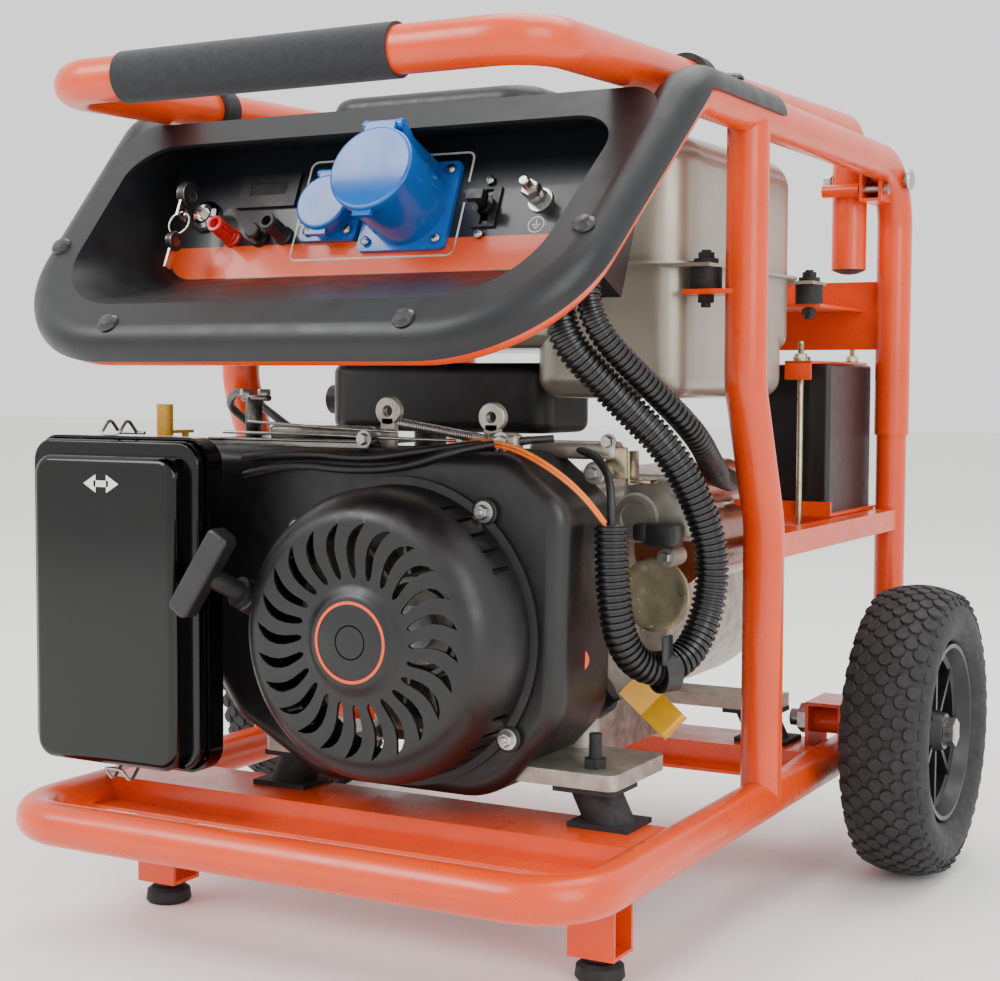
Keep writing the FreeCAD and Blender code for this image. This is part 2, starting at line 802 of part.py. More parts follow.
def handle_bolt():
    start = arm_side - tube_radius - 9
    end = half_width + tube_radius + 3
    shank = rod("PivotShank", S.pivotRadius, end - start, (start, S.pivotSet, S.pivotHeight), FACING_RIGHT)
    lock = nut("PivotNut", 9, 7, (start + 1, S.pivotSet, S.pivotHeight), FACING_RIGHT)
    head = turned(
        "PivotHead",
        [(0, 0), (11, 0), (11, 1.5), (9, 4), (5, 5.5), (0, 6)],
        (end - 0.5, S.pivotSet, S.pivotHeight),
        FACING_RIGHT,
    )
    washer = rod(
        "PivotWasher", 9, 1.6, (arm_side + tube_radius + 0.2, S.pivotSet, S.pivotHeight), FACING_RIGHT
    )
    return fuse("PivotBolt", shank, lock, head, washer)


def lock_pins():
    tip = arm_side + tube_radius + 0.4  # clear of the handle tube as it turns
    head_at = plate_outer + S.sheetSteel + 1
    for side, sign, facing in (("right", 1, FACING_RIGHT), ("left", -1, FACING_LEFT)):
        tag = side.capitalize()
        pin = rod(
            "PinShank" + tag, S.pinRadius, head_at - tip, (tip * sign, lock_set, S.pivotHeight - 10), facing
        )
        head = rod(
            "PinHead" + tag, S.pinRadius + 1.5, 4, (head_at * sign, lock_set, S.pivotHeight - 10), facing
        )
        node(f"lock_pin_{side}", fuse("LockPin" + tag, pin, head))


# ---------------------------------------------------------------- front panel
SLOPE = Rotation(X_AXIS, 45)  # a piece's own +Y runs up the sloping tubes, its +Z faces the user
PANEL = Rotation(X_AXIS, 90 - float(S.plateLean))
sine, cosine = math.sin(math.radians(float(S.plateLean))), math.cos(math.radians(float(S.plateLean)))
HALF_ROOT = math.sqrt(0.5)


def on_slope(across, up, out=0):
    """A point beside the sloping tubes: across the machine, up the slope, out from the tube axes."""
    return (across, panel_foot + (up - out) * HALF_ROOT, S.panelLow + (up + out) * HALF_ROOT)


def on_plate(across, up, out=0):
    """A point on the control plate: across, up along the plate, out from its face."""
    return (across, up * sine - out * cosine - S.plateSet, S.plateFoot + up * cosine + out * sine)


def closed_wire(corners, radii):
    """A closed outline of straight runs with a tangent arc at each corner."""
    corners = [vector(c) for c in corners]
    count, ends = len(corners), []
    for i, corner in enumerate(corners):
        before = (corners[i - 1] - corner).normalize()
        after = (corners[(i + 1) % count] - corner).normalize()
        half, radius = before.getAngle(after) / 2, float(radii[i])
        reach = radius / math.tan(half)
        inward = (before + after).normalize()
        crown = corner + inward * (radius / math.sin(half) - radius)
        ends.append((corner + before * reach, crown, corner + after * reach))
    edges = []
    for i, (first, crown, last) in enumerate(ends):
        edges.append(Part.Arc(first, crown, last).toShape())
        edges.append(Part.LineSegment(last, ends[(i + 1) % count][0]).toShape())
    return Part.Wire(edges)


def ring_face(outer, inner):
    """The flat face between two outlines in one plane."""
    return Part.Face(outer).cut(Part.Face(inner)).Faces[0]


def trapezoid(low_half, high_half, low, high):
    return [(-low_half, low), (low_half, low), (high_half, high), (-high_half, high)]


def bezel():
    slope_length = float(S.topHeight - S.panelLow) / HALF_ROOT
    flare = float(S.panelNarrow) / slope_length  # how much the tubes spread, per length of slope
    foot = float(half_width - S.panelNarrow)
    low, high = 21.0, slope_length - 50
    near, far = float(tube_radius) + 0.3, float(tube_radius) + 0.3 + float(S.bezelWall)

    def ring(inset, bottom, top, corner, upper_corner, out, point=on_slope):
        shape = trapezoid(foot - inset + flare * bottom, foot - inset + flare * top, bottom, top)
        return closed_wire([point(a, b, out) for a, b in shape], [corner, corner, upper_corner, upper_corner])

    lower_corner = float(S.panelCorner)
    outer = ring(0, 0, high + 30, lower_corner, 30, near)
    inner = ring(22, low, high, lower_corner - 24, 36, near)
    normal = Vector(0, -HALF_ROOT, HALF_ROOT)
    rim = ring_face(outer, inner).extrude(normal * float(S.bezelWall))
    # the rim is moulded round the outside of the tube
    sleeve_path = panel_stretch()
    sleeve = swept(sleeve_path, far).cut(swept(sleeve_path, near))
    turn_y, foot_y, top, bottom = float(panel_turn), float(panel_foot), float(S.topHeight), float(S.panelLow)
    behind = [
        Vector(-400, 200, top),
        Vector(-400, turn_y, top),
        Vector(-400, foot_y - 60, bottom - 60),
        Vector(-400, foot_y + 200, bottom - 60),
        Vector(-400, 200, bottom),
    ]
    block = Part.Face(Part.makePolygon(behind + [behind[0]])).extrude(Vector(800, 0, 0))
    sleeve = sleeve.cut(block)
    # the walls run back from the rim to the control plate
    half, flare_out = float(S.plateWidth / 2), float(S.plateFlare)
    wall = float(S.bezelWall)

    def plate_ring(inset, out):
        shape = trapezoid(half - inset, half + flare_out - inset, inset, float(S.plateHeight) - inset)
        return closed_wire([on_plate(a, b, out) for a, b in shape], [24, 24, 24, 24])

    inner_front = ring(22 - wall, low - wall, high + wall, lower_corner - 21, 39, far)
    inner_back = plate_ring(-wall, 0.2)
    core_front = ring(22, low, high, lower_corner - 24, 36, far)
    core_back = plate_ring(0, 0.2)
    walls = Part.makeLoft([inner_front, inner_back], True).cut(Part.makeLoft([core_front, core_back], True))
    shell = rim.fuse([sleeve, walls])
    # a narrow seat behind the walls holds the plate's edge
    seat = ring_face(plate_ring(-wall, -float(S.plateSheet)), plate_ring(4, -float(S.plateSheet)))
    back = on_plate_normal() * -wall
    seat = seat.extrude(back)
    skirt_ring = ring_face(plate_ring(-wall, 0.2), plate_ring(-0.3, 0.2))
    skirt = skirt_ring.extrude(on_plate_normal() * -(float(S.plateSheet) + 0.2))
    shell = shell.fuse([seat, skirt])
    screw_holes = [Part.makeCylinder(3.2, 40, vector(at), towards) for at, towards in bezel_screw_places(-12)]
    node("panel_bezel", solid("PanelBezel", largest(shell.cut(screw_holes))))


def on_plate_normal():
    return Vector(0, -cosine, sine)


def panel_stretch():
    """The part of the upper loop's route that the bezel covers."""
    w, back = float(half_width), float(bezel_back)
    turn, top, low = float(panel_turn), float(S.topHeight), float(S.panelLow)
    foot = float(panel_foot)
    narrow = w - float(S.panelNarrow)
    points = [
        (w, back, top),
        (w, turn, top),
        (narrow, foot, low),
        (-narrow, foot, low),
        (-w, turn, top),
        (-w, back, top),
    ]
    return bent_path(points, [S.panelBend, S.panelCorner, S.panelCorner, S.panelBend])


bezel_back = S.uprightLow - S.uprightJog + tube_radius + 16


def bezel_screw_places(start):
    """Where the bezel's screws go into the tube, start measured from the bezel's outside."""
    slope_length = (S.topHeight - S.panelLow) / HALF_ROOT
    out = tube_radius + 0.3 + S.bezelWall + start
    places = []
    normal = Vector(0, -HALF_ROOT, HALF_ROOT)
    for sign in (1, -1):
        places.append((on_slope(128 * sign, 0, out), normal))
        side = (half_width - S.panelNarrow + S.panelNarrow * 90 / slope_length) * sign
        places.append((on_slope(side, 90, out), normal))
        places.append(((half_width * sign, S.uprightLow - S.uprightJog - 34, S.topHeight + out), Z_AXIS))
    return places


def bezel_screws():
    screws = []
    for i, (at, towards) in enumerate(bezel_screw_places(0)):
        turn = SLOPE if towards.y < -0.1 else UPRIGHT
        head = turned(
            f"ScrewHead{i}",
            [(0, -12), (2.9, -12), (2.9, 0), (8.5, 0), (8, 2), (5.5, 4.2), (0, 5)],
            at,
            turn,
        )
        screws.append(head)
    node("bezel_screws", compound("BezelScrews", *screws))


# places on the control plate: across, up
KEY_AT, METER_AT = (-175, 58), (-116, 79)
RED_AT, BUTTON_AT, BLACK_AT = (-142, 37), (-114, 37), (-90, 37)
SMALL_AT, LARGE_AT = (-46, 56), (25, 57)
BREAKER_AT, EARTH_AT = (94, 54), (139, 58)
METER_SIZE = (58, 30)


def control_plate():
    half, flare, height = S.plateWidth / 2, S.plateFlare, S.plateHeight
    at = on_plate(0, 0, -S.plateSheet)
    plate = padded(
        "PlateBlank",
        [(-half, 0), (half, 0), (half + flare, height), (-half - flare, height)],
        S.plateSheet,
        at,
        PANEL,
        24,
    )
    tools = []
    rounds = (
        (KEY_AT, 11),
        (RED_AT, 4),
        (BLACK_AT, 4),
        (BUTTON_AT, 6.5),
        (SMALL_AT, 23),
        (LARGE_AT, 35),
        (EARTH_AT, 4.2),
    )
    for i, (spot, radius) in enumerate(rounds):
        tools.append(rod(f"PlateHole{i}", radius, 10, on_plate(*spot, -6), PANEL))
    tools.append(box("MeterHole", (52, 25, 10), on_plate(METER_AT[0] - 26, METER_AT[1] - 12.5, -6), PANEL))
    tools.append(box("BreakerHole", (12, 22, 10), on_plate(BREAKER_AT[0] - 6, BREAKER_AT[1] - 11, -6), PANEL))
    node("control_plate", cut("ControlPlate", plate, *tools))
    depth, wall = 62.0, 1.5
    width, high = float(S.plateWidth) - 24, float(S.plateHeight) - 18
    outer = Part.makeBox(width, high, depth, Vector(-width / 2, 8, -float(S.plateSheet) - depth))
    core = Part.makeBox(
        width - 2 * wall,
        high - 2 * wall,
        depth,
        Vector(-width / 2 + wall, 8 + wall, -float(S.plateSheet) - depth + wall),
    )
    outlet = Part.makeCylinder(float(S.conduitRadius) + 0.4, 30, Vector(150, -6, -34), Y_AXIS)
    case = outer.cut([core, outlet])
    case.Placement = Placement(vector(on_plate(0, 0)), PANEL)
    node("control_box", solid("ControlBox", case))


def panel_fittings():
    """Meter, key switch, terminals, socket outlets and breakers on the control plate."""
    wide, tall = METER_SIZE
    front = box(
        "MeterFront", (wide, tall, 3), on_plate(METER_AT[0] - wide / 2, METER_AT[1] - tall / 2), PANEL
    )
    back = box("MeterBack", (51, 24, 26), on_plate(METER_AT[0] - 25.5, METER_AT[1] - 12, -26), PANEL)
    window = box("MeterWindow", (36, 11, 3), on_plate(METER_AT[0] - 18, METER_AT[1] - 4, 2.2), PANEL)
    node("panel_meter", cut("PanelMeter", fuse("MeterBody", front, back), window))
    plug = 6.0
    barrel = [
        (plug, -22),
        (plug, 6),
        (9, 7),
        (12.5, 5.5),
        (14, 3),
        (14, 0),
        (10.8, 0),
        (10.8, -26),
        (0, -26),
        (0, -22),
    ]
    node("key_switch", turned("KeySwitch", barrel, on_plate(*KEY_AT), PANEL))
    core = turned(
        "KeyCore", [(0, -21.7), (plug - 0.05, -21.7), (plug - 0.05, 6), (0, 6)], on_plate(*KEY_AT), PANEL
    )
    blade = box("KeyBlade", (2.4, 8, 14), on_plate(KEY_AT[0] - 1.2, KEY_AT[1] - 4, 5), PANEL)
    bow = rod("KeyBow", 11, 7, on_plate(KEY_AT[0] - 3.5, KEY_AT[1] + 5, 29), PANEL.multiply(FACING_RIGHT))
    # the ring hangs in a thin loop, so that it can stay upright while the key turns
    loop_at, ring_radius, ring_out = KEY_AT[1] - 11.5, 10, 31
    loop = box("KeyLoop", (2, 14, 12), on_plate(KEY_AT[0] - 1, loop_at - 5.5, ring_out - 6), PANEL)
    ring_hole = rod(
        "KeyHole", 3.6, 12, on_plate(KEY_AT[0] - 6, loop_at, ring_out), PANEL.multiply(FACING_RIGHT)
    )
    node("ignition_key", cut("IgnitionKey", fuse("Key", core, blade, bow, loop), ring_hole))
    ring = doc.addObject("Part::Torus", "KeyRing")
    ring.Radius1 = ring_radius
    ring.Radius2 = 0.9
    place(ring, on_plate(KEY_AT[0], loop_at - ring_radius, ring_out), PANEL)
    spare_top = loop_at - 2 * ring_radius - 0.8
    spare_at = KEY_AT[0] - 2.5
    spare_bow = rod(
        "SpareBow", 8, 5, on_plate(spare_at, spare_top - 6, ring_out), PANEL.multiply(FACING_RIGHT)
    )
    spare_hole = rod(
        "SpareHole", 2.4, 9, on_plate(spare_at - 2, spare_top, ring_out), PANEL.multiply(FACING_RIGHT)
    )
    spare_blade = box(
        "SpareBlade", (2, 18, 7), on_plate(KEY_AT[0] - 1, spare_top - 30, ring_out - 3.5), PANEL
    )
    spare = cut("SpareKey", fuse("SpareBlank", spare_bow, spare_blade), spare_hole)
    node("key_ring", compound("KeyRingSet", ring, spare))
    posts = []
    for tag, spot in (("Red", RED_AT), ("Black", BLACK_AT)):
        body = turned(
            f"Post{tag}",
            [
                (0, -18),
                (3.7, -18),
                (3.7, 0),
                (8, 0),
                (8, 3),
                (6.5, 4),
                (6.5, 24),
                (7.2, 27),
                (4, 28),
                (4, 20),
                (0, 20),
            ],
            on_plate(*spot),
            PANEL,
        )
        posts.append(body)
    stud = rod("EarthStud", 4, 46, on_plate(*EARTH_AT, -14), PANEL)
    lock = nut("EarthNut", 8, 7, on_plate(*EARTH_AT, 2), PANEL)
    washer = rod("EarthWasher", 10, 2, on_plate(*EARTH_AT, 0.1), PANEL)
    wing = nut("EarthOuterNut", 8, 6, on_plate(*EARTH_AT, 15), PANEL)
    posts.append(fuse("EarthPost", stud, lock, washer, wing))
    node("terminals", compound("Terminals", *posts))
    button_points = [(0, -14), (4.4, -14), (4.4, 8), (6, 9.5), (6.5, 11), (6.5, 13.5), (5.5, 14.5), (0, 14.5)]
    node("dc_button", turned("DcButton", button_points, on_plate(*BUTTON_AT), PANEL))
    collar = turned(
        "ButtonCollar",
        [(4.6, -20), (4.6, 5), (8, 5), (9, 3), (9, 0), (6.2, 0), (6.2, -20)],
        on_plate(*BUTTON_AT),
        PANEL,
    )
    x, y = BREAKER_AT
    base = box("BreakerBase", (20, 34, 2.5), on_plate(x - 10, y - 17, 0), PANEL)
    body = box("BreakerBody", (11, 20, 40), on_plate(x - 5.5, y - 10, -40), PANEL)
    hump = rod("BreakerHump", 8, 8, on_plate(x, y, 0), PANEL)
    slot = box("BreakerSlot", (7, 30, 30), on_plate(x - 3.5, y - 15, -8), PANEL)
    screws = [
        rod(f"BreakerScrew{i}", 3.4, 3, on_plate(x - 2, y + rise, 0.1), PANEL)
        for i, rise in enumerate((-23, 23))
    ]
    node(
        "breaker_switch",
        compound(
            "BreakerSwitch",
            collar,
            cut("BreakerFrame", fuse("BreakerShell", base, body, hump), slot),
            *screws,
        ),
    )
    shaft = rod("LeverAxle", 5, 6, on_plate(x - 3, y, 0), PANEL.multiply(FACING_RIGHT))
    arm = box("LeverArm", (5, 7, 20), on_plate(x - 2.5, y - 3.5, 0), PANEL)
    tip = box("LeverTip", (14, 8, 6), on_plate(x - 7, y - 4, 17), PANEL)
    node("breaker_lever", fuse("BreakerLever", shaft, arm, tip))
    sockets()


def sockets():
    """Two socket outlets; each has a flange on the plate and a hinged, sprung lid."""
    for name, spot, size, outer, length, back in (
        ("small_socket", SMALL_AT, (54, 52), 22.5, 14, 30),
        ("large_socket", LARGE_AT, (80, 76), 34, 58, 34),
    ):
        tag = name.title().replace("_", "")
        wide, tall = size
        corner = (spot[0] - wide / 2, spot[1] - tall / 2)
        cavity = outer - 3.5
        plate = rounded_block((wide, tall, 4), (corner[0], corner[1], 0), 5)
        body = Part.makeCylinder(outer, length + back, Vector(*spot, -back))
        inside = Part.makeCylinder(cavity, length + back - 4, Vector(*spot, 4 - back))
        pins = []
        ring = cavity * 0.55
        for turn in (90, 210, 330):
            centre = Vector(
                spot[0] + ring * math.cos(math.radians(turn)),
                spot[1] + ring * math.sin(math.radians(turn)),
                2 - back,
            )
            pins.append(Part.makeCylinder(cavity * 0.11, (length + back) * 0.6, centre))
        hinge_y, hinge_z = spot[1] + outer + 5, length + 1
        clear_lid = Part.makeCylinder(outer + 1.9, 20, Vector(*spot, length))
        ears, ear_gap = [], outer * 0.45
        ear_low = hinge_z - 2  # the ears' heads are round and small, so that the lid swings past them
        for side in (-1, 1):
            left = spot[0] + side * ear_gap - 2
            ear = Part.makeBox(4, 14, ear_low, Vector(left, hinge_y - 9, 0))
            if length > 40:
                wedge = [
                    (hinge_y - 9, 0),
                    (spot[1] + tall / 2, 0),
                    (hinge_y - 2, hinge_z - 16),
                    (hinge_y + 3.5, hinge_z - 4),
                    (hinge_y + 3.5, ear_low),
                    (hinge_y - 9, ear_low),
                ]
                face = Part.Face(Part.makePolygon([Vector(0, a, b) for a, b in wedge + wedge[:1]]))
                ear = face.extrude(Vector(4, 0, 0))
                ear.translate(Vector(left, 0, 0))
            head = Part.makeCylinder(4.5, 4, Vector(left, hinge_y, hinge_z), X_AXIS)
            ears.append(ear.fuse(head).cut(clear_lid))
        pin_hole = Part.makeCylinder(1.85, 80, Vector(spot[0] - 40, hinge_y, hinge_z), X_AXIS)
        screws = [
            Part.makeCylinder(
                3.5, 2.6, Vector(spot[0] + a * (wide / 2 - 8), spot[1] + b * (tall / 2 - 8), 3.9)
            )
            for a in (-1, 1)
            for b in (-1, 1)
            if name == "large_socket" or b < 0
        ]
        shell = plate.fuse([body] + ears).cut([inside, pin_hole])
        pieces = [shell.removeSplitter()] + pins + screws
        housing = Part.makeCompound(pieces)
        housing.Placement = Placement(vector(on_plate(0, 0)), PANEL)
        node(name, solid(tag, housing))
        lid_face = length + 0.4
        lid = Part.makeCylinder(outer + 1.5, 7, Vector(*spot, lid_face))
        lid = lid.makeFillet(2.5, [e for e in lid.Edges if abs(e.BoundBox.ZMin - lid_face - 7) < 0.01])
        knuckle_half = ear_gap - 2.3
        knuckle = Part.makeCylinder(
            4, 2 * knuckle_half, Vector(spot[0] - knuckle_half, hinge_y, hinge_z), X_AXIS
        )
        strap = Part.makeBox(
            2 * knuckle_half, 9, 4, Vector(spot[0] - knuckle_half, hinge_y - 9, lid_face + 2.6)
        )
        clear = Part.makeCylinder(outer + 0.2, hinge_z, Vector(*spot, lid_face - hinge_z))
        pin = Part.makeCylinder(1.8, 2 * ear_gap + 6, Vector(spot[0] - ear_gap - 3, hinge_y, hinge_z), X_AXIS)
        latch = Part.makeBox(16, 5, 4, Vector(spot[0] - 8, spot[1] - outer - 5.5, lid_face))
        cover = lid.fuse([knuckle.fuse(strap).cut(clear), pin, latch]).removeSplitter()
        cover.Placement = Placement(vector(on_plate(0, 0)), PANEL)
        node(name + "_lid", solid(tag + "Lid", cover))


# ---------------------------------------------------------------- fuel tank
def fuel_tank():
    half, front, seam = S.tankWidth / 2, -S.tankFront, S.tankSeam
    length, sheet_ = S.tankLength, float(S.tankSheet)
    step = 60.0  # the tank is deep to the right of here and shallow to its left
    corner = 42.0

    def lower_body(inset):
        deep_width = float(half) - step - inset * 2
        deep = rounded_block(
            (deep_width, length - 2 * inset - 28, seam - S.tankDeep - inset),
            (step + inset, front + inset, S.tankDeep + inset),
            30 - inset,
            18 - inset,
            "bottom",
        )
        wide = rounded_block(
            (S.tankWidth - 2 * inset, length - 2 * inset, seam - S.tankShallow - inset),
            (-half + inset, front + inset, S.tankShallow + inset),
            corner - inset,
            16 - inset,
            "bottom",
        )
        return deep.fuse(wide)

    def upper_body(inset):
        return rounded_block(
            (S.tankWidth - 2 * inset, length - 2 * inset, S.tankTop - seam - inset),
            (-half + inset, front + inset, seam),
            corner - inset,
            26 - inset,
            "top",
        )

    def flange(base):
        lip = S.tankFlange
        rim = rounded_block(
            (S.tankWidth + lip * 2, length + lip * 2, sheet_),
            (-half - lip, front - lip, base),
            corner + float(lip),
        )
        hole = rounded_block(
            (S.tankWidth - 2 * sheet_, length - 2 * sheet_, sheet_ + 2),
            (-half + sheet_, front + sheet_, base - 1),
            corner - sheet_,
        )
        return rim.cut(hole)

    lower = lower_body(0).cut(lower_body(sheet_)).fuse(flange(seam - sheet_))
    lugs = []
    for x, y in tank_mount_places():
        lug = Part.makeBox(44, 40, 3, Vector(x - (34 if x > 0 else 10), y - 20, float(seam) - sheet_ - 3))
        hole = Part.makeCylinder(4.4, 20, Vector(x, y, float(seam) - 12))
        lugs.append(lug.cut([hole, lower_body(0)]))
    lower = lower.fuse([largest(lug) for lug in lugs])
    node("tank_lower", solid("TankLower", lower.removeSplitter()))
    neck_x, neck_y = float(cap_side), float(cap_set)
    top = float(S.tankTop)
    upper = upper_body(0).cut(upper_body(sheet_)).fuse(flange(seam))
    neck = Part.makeCylinder(27, 12, Vector(neck_x, neck_y, top - sheet_))
    bore = Part.makeCylinder(25.5, 60, Vector(neck_x, neck_y, top - 30))
    node("tank_upper", solid("TankUpper", upper.fuse(neck).cut(bore).removeSplitter()))
    cap = turned(
        "Cap",
        [(0, 2), (25, 2), (25, 13.2), (30, 13.2), (33, 14), (34, 17), (34, 26), (31, 30), (10, 31), (0, 31)],
        (cap_side, cap_set, S.tankTop - sheet_),
    )
    node("fuel_cap", cap)
    hump = rounded_block((214, 150, 60), (-158, front + 14, S.tankTop + 0.4 - 12), 34, 12, "top")
    inner = rounded_block((208, 144, 60), (-155, front + 17, S.tankTop + 0.4 - 15), 31, 10, "top")
    hump = hump.cut(
        [inner, upper_body(-0.4), Part.makeBox(600, 30, 40, Vector(-300, float(front) - 31, top - 42))]
    )
    node("tank_cover", solid("TankCover", largest(hump)))


cap_side, cap_set = 118.0, -S.tankFront + 120


def tank_mount_places():
    """Across and along for the four rubber mounts under the tank's flange."""
    front, rear = -float(S.tankFront) + 16, float(S.tankLength - S.tankFront) + 10
    return [(214.0, front), (-214.0, front), (206.0, rear), (-206.0, rear)]


def tank_brackets():
    """Gussets from the front uprights and a cross plate between the rear posts carry the tank."""
    gap, thick = 18.0, float(S.sheetSteel) + 1
    seat = float(S.tankSeam - S.tankSheet) - 3 - gap
    w, upright = float(half_width), float(S.uprightLow - S.uprightJog)
    post = Part.makeCylinder(float(tube_radius), 400, Vector(w, upright, float(S.topHeight) - 400))
    front_x, front_y = tank_mount_places()[0]
    inner = float(S.tankWidth) / 2 + 1.5
    outline = [
        (w, upright - 15),
        (w, upright + 15),
        (front_x + 18, front_y + 22),
        (inner, front_y + 22),
        (inner, front_y - 20),
        (front_x + 12, front_y - 20),
    ]
    plate = Part.Face(Part.makePolygon([Vector(a, b, seat - thick) for a, b in outline + outline[:1]]))
    plate = plate.extrude(Vector(0, 0, thick))
    gusset_points = [
        (upright + 14, seat - thick), (front_y + 18, seat - thick), (upright + 14, seat - thick - 46)
    ]
    gusset = Part.Face(Part.makePolygon([Vector(w - 3, a, b) for a, b in gusset_points + gusset_points[:1]]))
    gusset = gusset.extrude(Vector(thick, 0, 0))
    hole = Part.makeCylinder(4.4, 40, Vector(front_x, front_y, seat - 20))
    front = largest(plate.fuse(gusset).cut([post, hole]))
    rear_y = float(S.frameRear)
    bracket_top = float(S.tankSeam) + 5
    back = Part.makeBox(2 * w, float(S.sheetSteel), 68, Vector(-w, rear_y - 1.5, bracket_top - 68))
    shelf_y = tank_mount_places()[2][1]
    shelf = Part.makeBox(
        2 * w - 60, rear_y - shelf_y + 7, float(S.sheetSteel), Vector(-w + 30, shelf_y - 7, seat - 3)
    )
    bend = Part.makeBox(2 * w - 60, 3, bracket_top - seat + 3, Vector(-w + 30, rear_y - 1.5, seat - 3))
    posts = [Part.makeCylinder(float(tube_radius), 500, Vector(s * w, rear_y, 300)) for s in (1, -1)]
    holes = [Part.makeCylinder(4.4, 40, Vector(x, y, seat - 20)) for x, y in tank_mount_places()[2:]]
    middle = Part.makeBox(330, 110, 10, Vector(-165, shelf_y - 60, seat - 6))
    rear = back.fuse([shelf, bend]).cut(posts + holes + [middle])
    node("tank_brackets", solid("TankBrackets", Part.makeCompound([front, mirrored(front), largest(rear)])))


# ---------------------------------------------------------------- battery
battery_side = 186.0
battery_set = 293.0


def battery():
    top = S.shelfTop + S.sheetSteel
    wide, long_, high = S.batteryWidth, S.batteryLength, S.batteryHeight
    case = rounded_block(
        (wide, long_, high), (battery_side - wide / 2, battery_set - long_ / 2, top), 5, 3, "top"
    )
    poles = []
    for offset in (-46, 46):
        corner = Vector(battery_side - 30, battery_set + offset - 6, float(top + high) - 0.1)
        poles.append(Part.makeBox(14, 12, 9, corner))
    node("battery_case", solid("BatteryCase", case.fuse(poles)))
    # shelf: a square tube on each side, cross bars and a tray
    bar, w = float(S.shelfBar), float(half_width)
    shelf_low = float(S.shelfTop) - bar
    front, rear = float(S.uprightLow), float(S.frameRear)
    inner_x = battery_side - 31
    outer_bar = square_tube((bar, rear - front, bar), (w - bar / 2, front, shelf_low), 1)
    inner_bar = square_tube((bar, rear - front - 84, bar), (inner_x - bar / 2, front + 84, shelf_low), 1)
    cross = [
        square_tube((w - inner_x, bar, bar), (inner_x, y, shelf_low), 0) for y in (front + 84, rear - bar)
    ]
    tray_wide, tray_long = float(S.batteryWidth) + 9, float(S.batteryLength) + 16
    tray_at = Vector(battery_side - tray_wide / 2 + 0.5, battery_set - tray_long / 2, float(S.shelfTop))
    tray = Part.makeBox(tray_wide, tray_long, float(S.sheetSteel), tray_at)
    lip = Part.makeBox(3, tray_long, 14, tray_at)
    stop = Part.makeBox(tray_wide, 3, 14, tray_at)
    rods = clamp_rod_places()
    holes = [Part.makeCylinder(3.3, 60, Vector(x, y, shelf_low - 10)) for x, y in rods]
    posts = [Part.makeCylinder(float(tube_radius), 500, Vector(w, y, 100)) for y in (front, rear)]
    pieces = [outer_bar, inner_bar] + cross
    frame_ = pieces[0].fuse(pieces[1:]).fuse([tray, lip, stop]).cut(posts + holes)
    node("battery_shelf", solid("BatteryShelf", largest(frame_)))
    clamp_base = float(top + high)
    front_strap = Part.makeBox(26, 176, 3, Vector(battery_side + 6, battery_set - 88, clamp_base + 0.3))
    edge = Part.makeBox(26, 3, 18, Vector(battery_side + 6, battery_set - 88, clamp_base - 14.7))
    edge_back = Part.makeBox(26, 3, 18, Vector(battery_side + 6, battery_set + 85, clamp_base - 14.7))
    clamp_holes = [Part.makeCylinder(3.3, 60, Vector(x, y, clamp_base - 20)) for x, y in rods]
    clamp = front_strap.fuse([edge, edge_back]).cut(clamp_holes)
    bolts = []
    for x, y in rods:
        low = shelf_low - 6
        rod_ = Part.makeCylinder(3, clamp_base + 22 - low, Vector(x, y, low))
        head = hexagon(6, 5, (x, y, clamp_base + 3.4))
        foot = hexagon(6, 5, (x, y, float(S.shelfTop) - bar - 5.1))
        bolts.append(rod_.fuse([head, foot]))
    node("battery_clamp", solid("BatteryClamp", Part.makeCompound([clamp] + bolts)))


def clamp_rod_places():
    """Across and along for the two rods that hold the battery's clamp down."""
    return [(battery_side + 19, battery_set - 79), (battery_side + 19, battery_set + 79)]


def square_tube(size, at, run):
    """A thin square tube along X (run 0) or Y (run 1)."""
    wall = 2.0
    outer = Part.makeBox(*size, Vector(*at))
    inner_size = [size[i] + 2 if i == run else size[i] - 2 * wall for i in range(3)]
    inner_at = [at[i] - 1 if i == run else at[i] + wall for i in range(3)]
    return outer.cut(Part.makeBox(*inner_size, Vector(*inner_at)))


def hexagon(radius, thick, at, axis=Z_AXIS):
    """A hexagonal nut or bolt head, radius to its corners."""
    corners = [
        Vector(radius * math.cos(math.radians(60 * i)), radius * math.sin(math.radians(60 * i)), 0)
        for i in range(6)
    ]
    block = Part.Face(Part.makePolygon(corners + corners[:1])).extrude(Vector(0, 0, float(thick)))
    block.Placement = Placement(vector(at), Rotation(Z_AXIS, axis))
    return block


# ---------------------------------------------------------------- engine and alternator
crank_x, crank_z = float(S.crankSide), float(S.crankHeight)
case_front, case_rear = -140.0, 22.0
cavity_radius, cavity_half = 66.0, 40.0
rotor_radius, stator_bore, housing_radius = 70.0, 71.0, 110.0
housing_rear = 300.0
head_tilt = 25.0  # the cylinder leans this far above the level, to the left


def tilted(shape):
    """Turns a cylinder-side piece about the crankshaft by the cylinder's tilt."""
    shape.rotate(Vector(crank_x, 0, crank_z), Y_AXIS, head_tilt)
    return shape


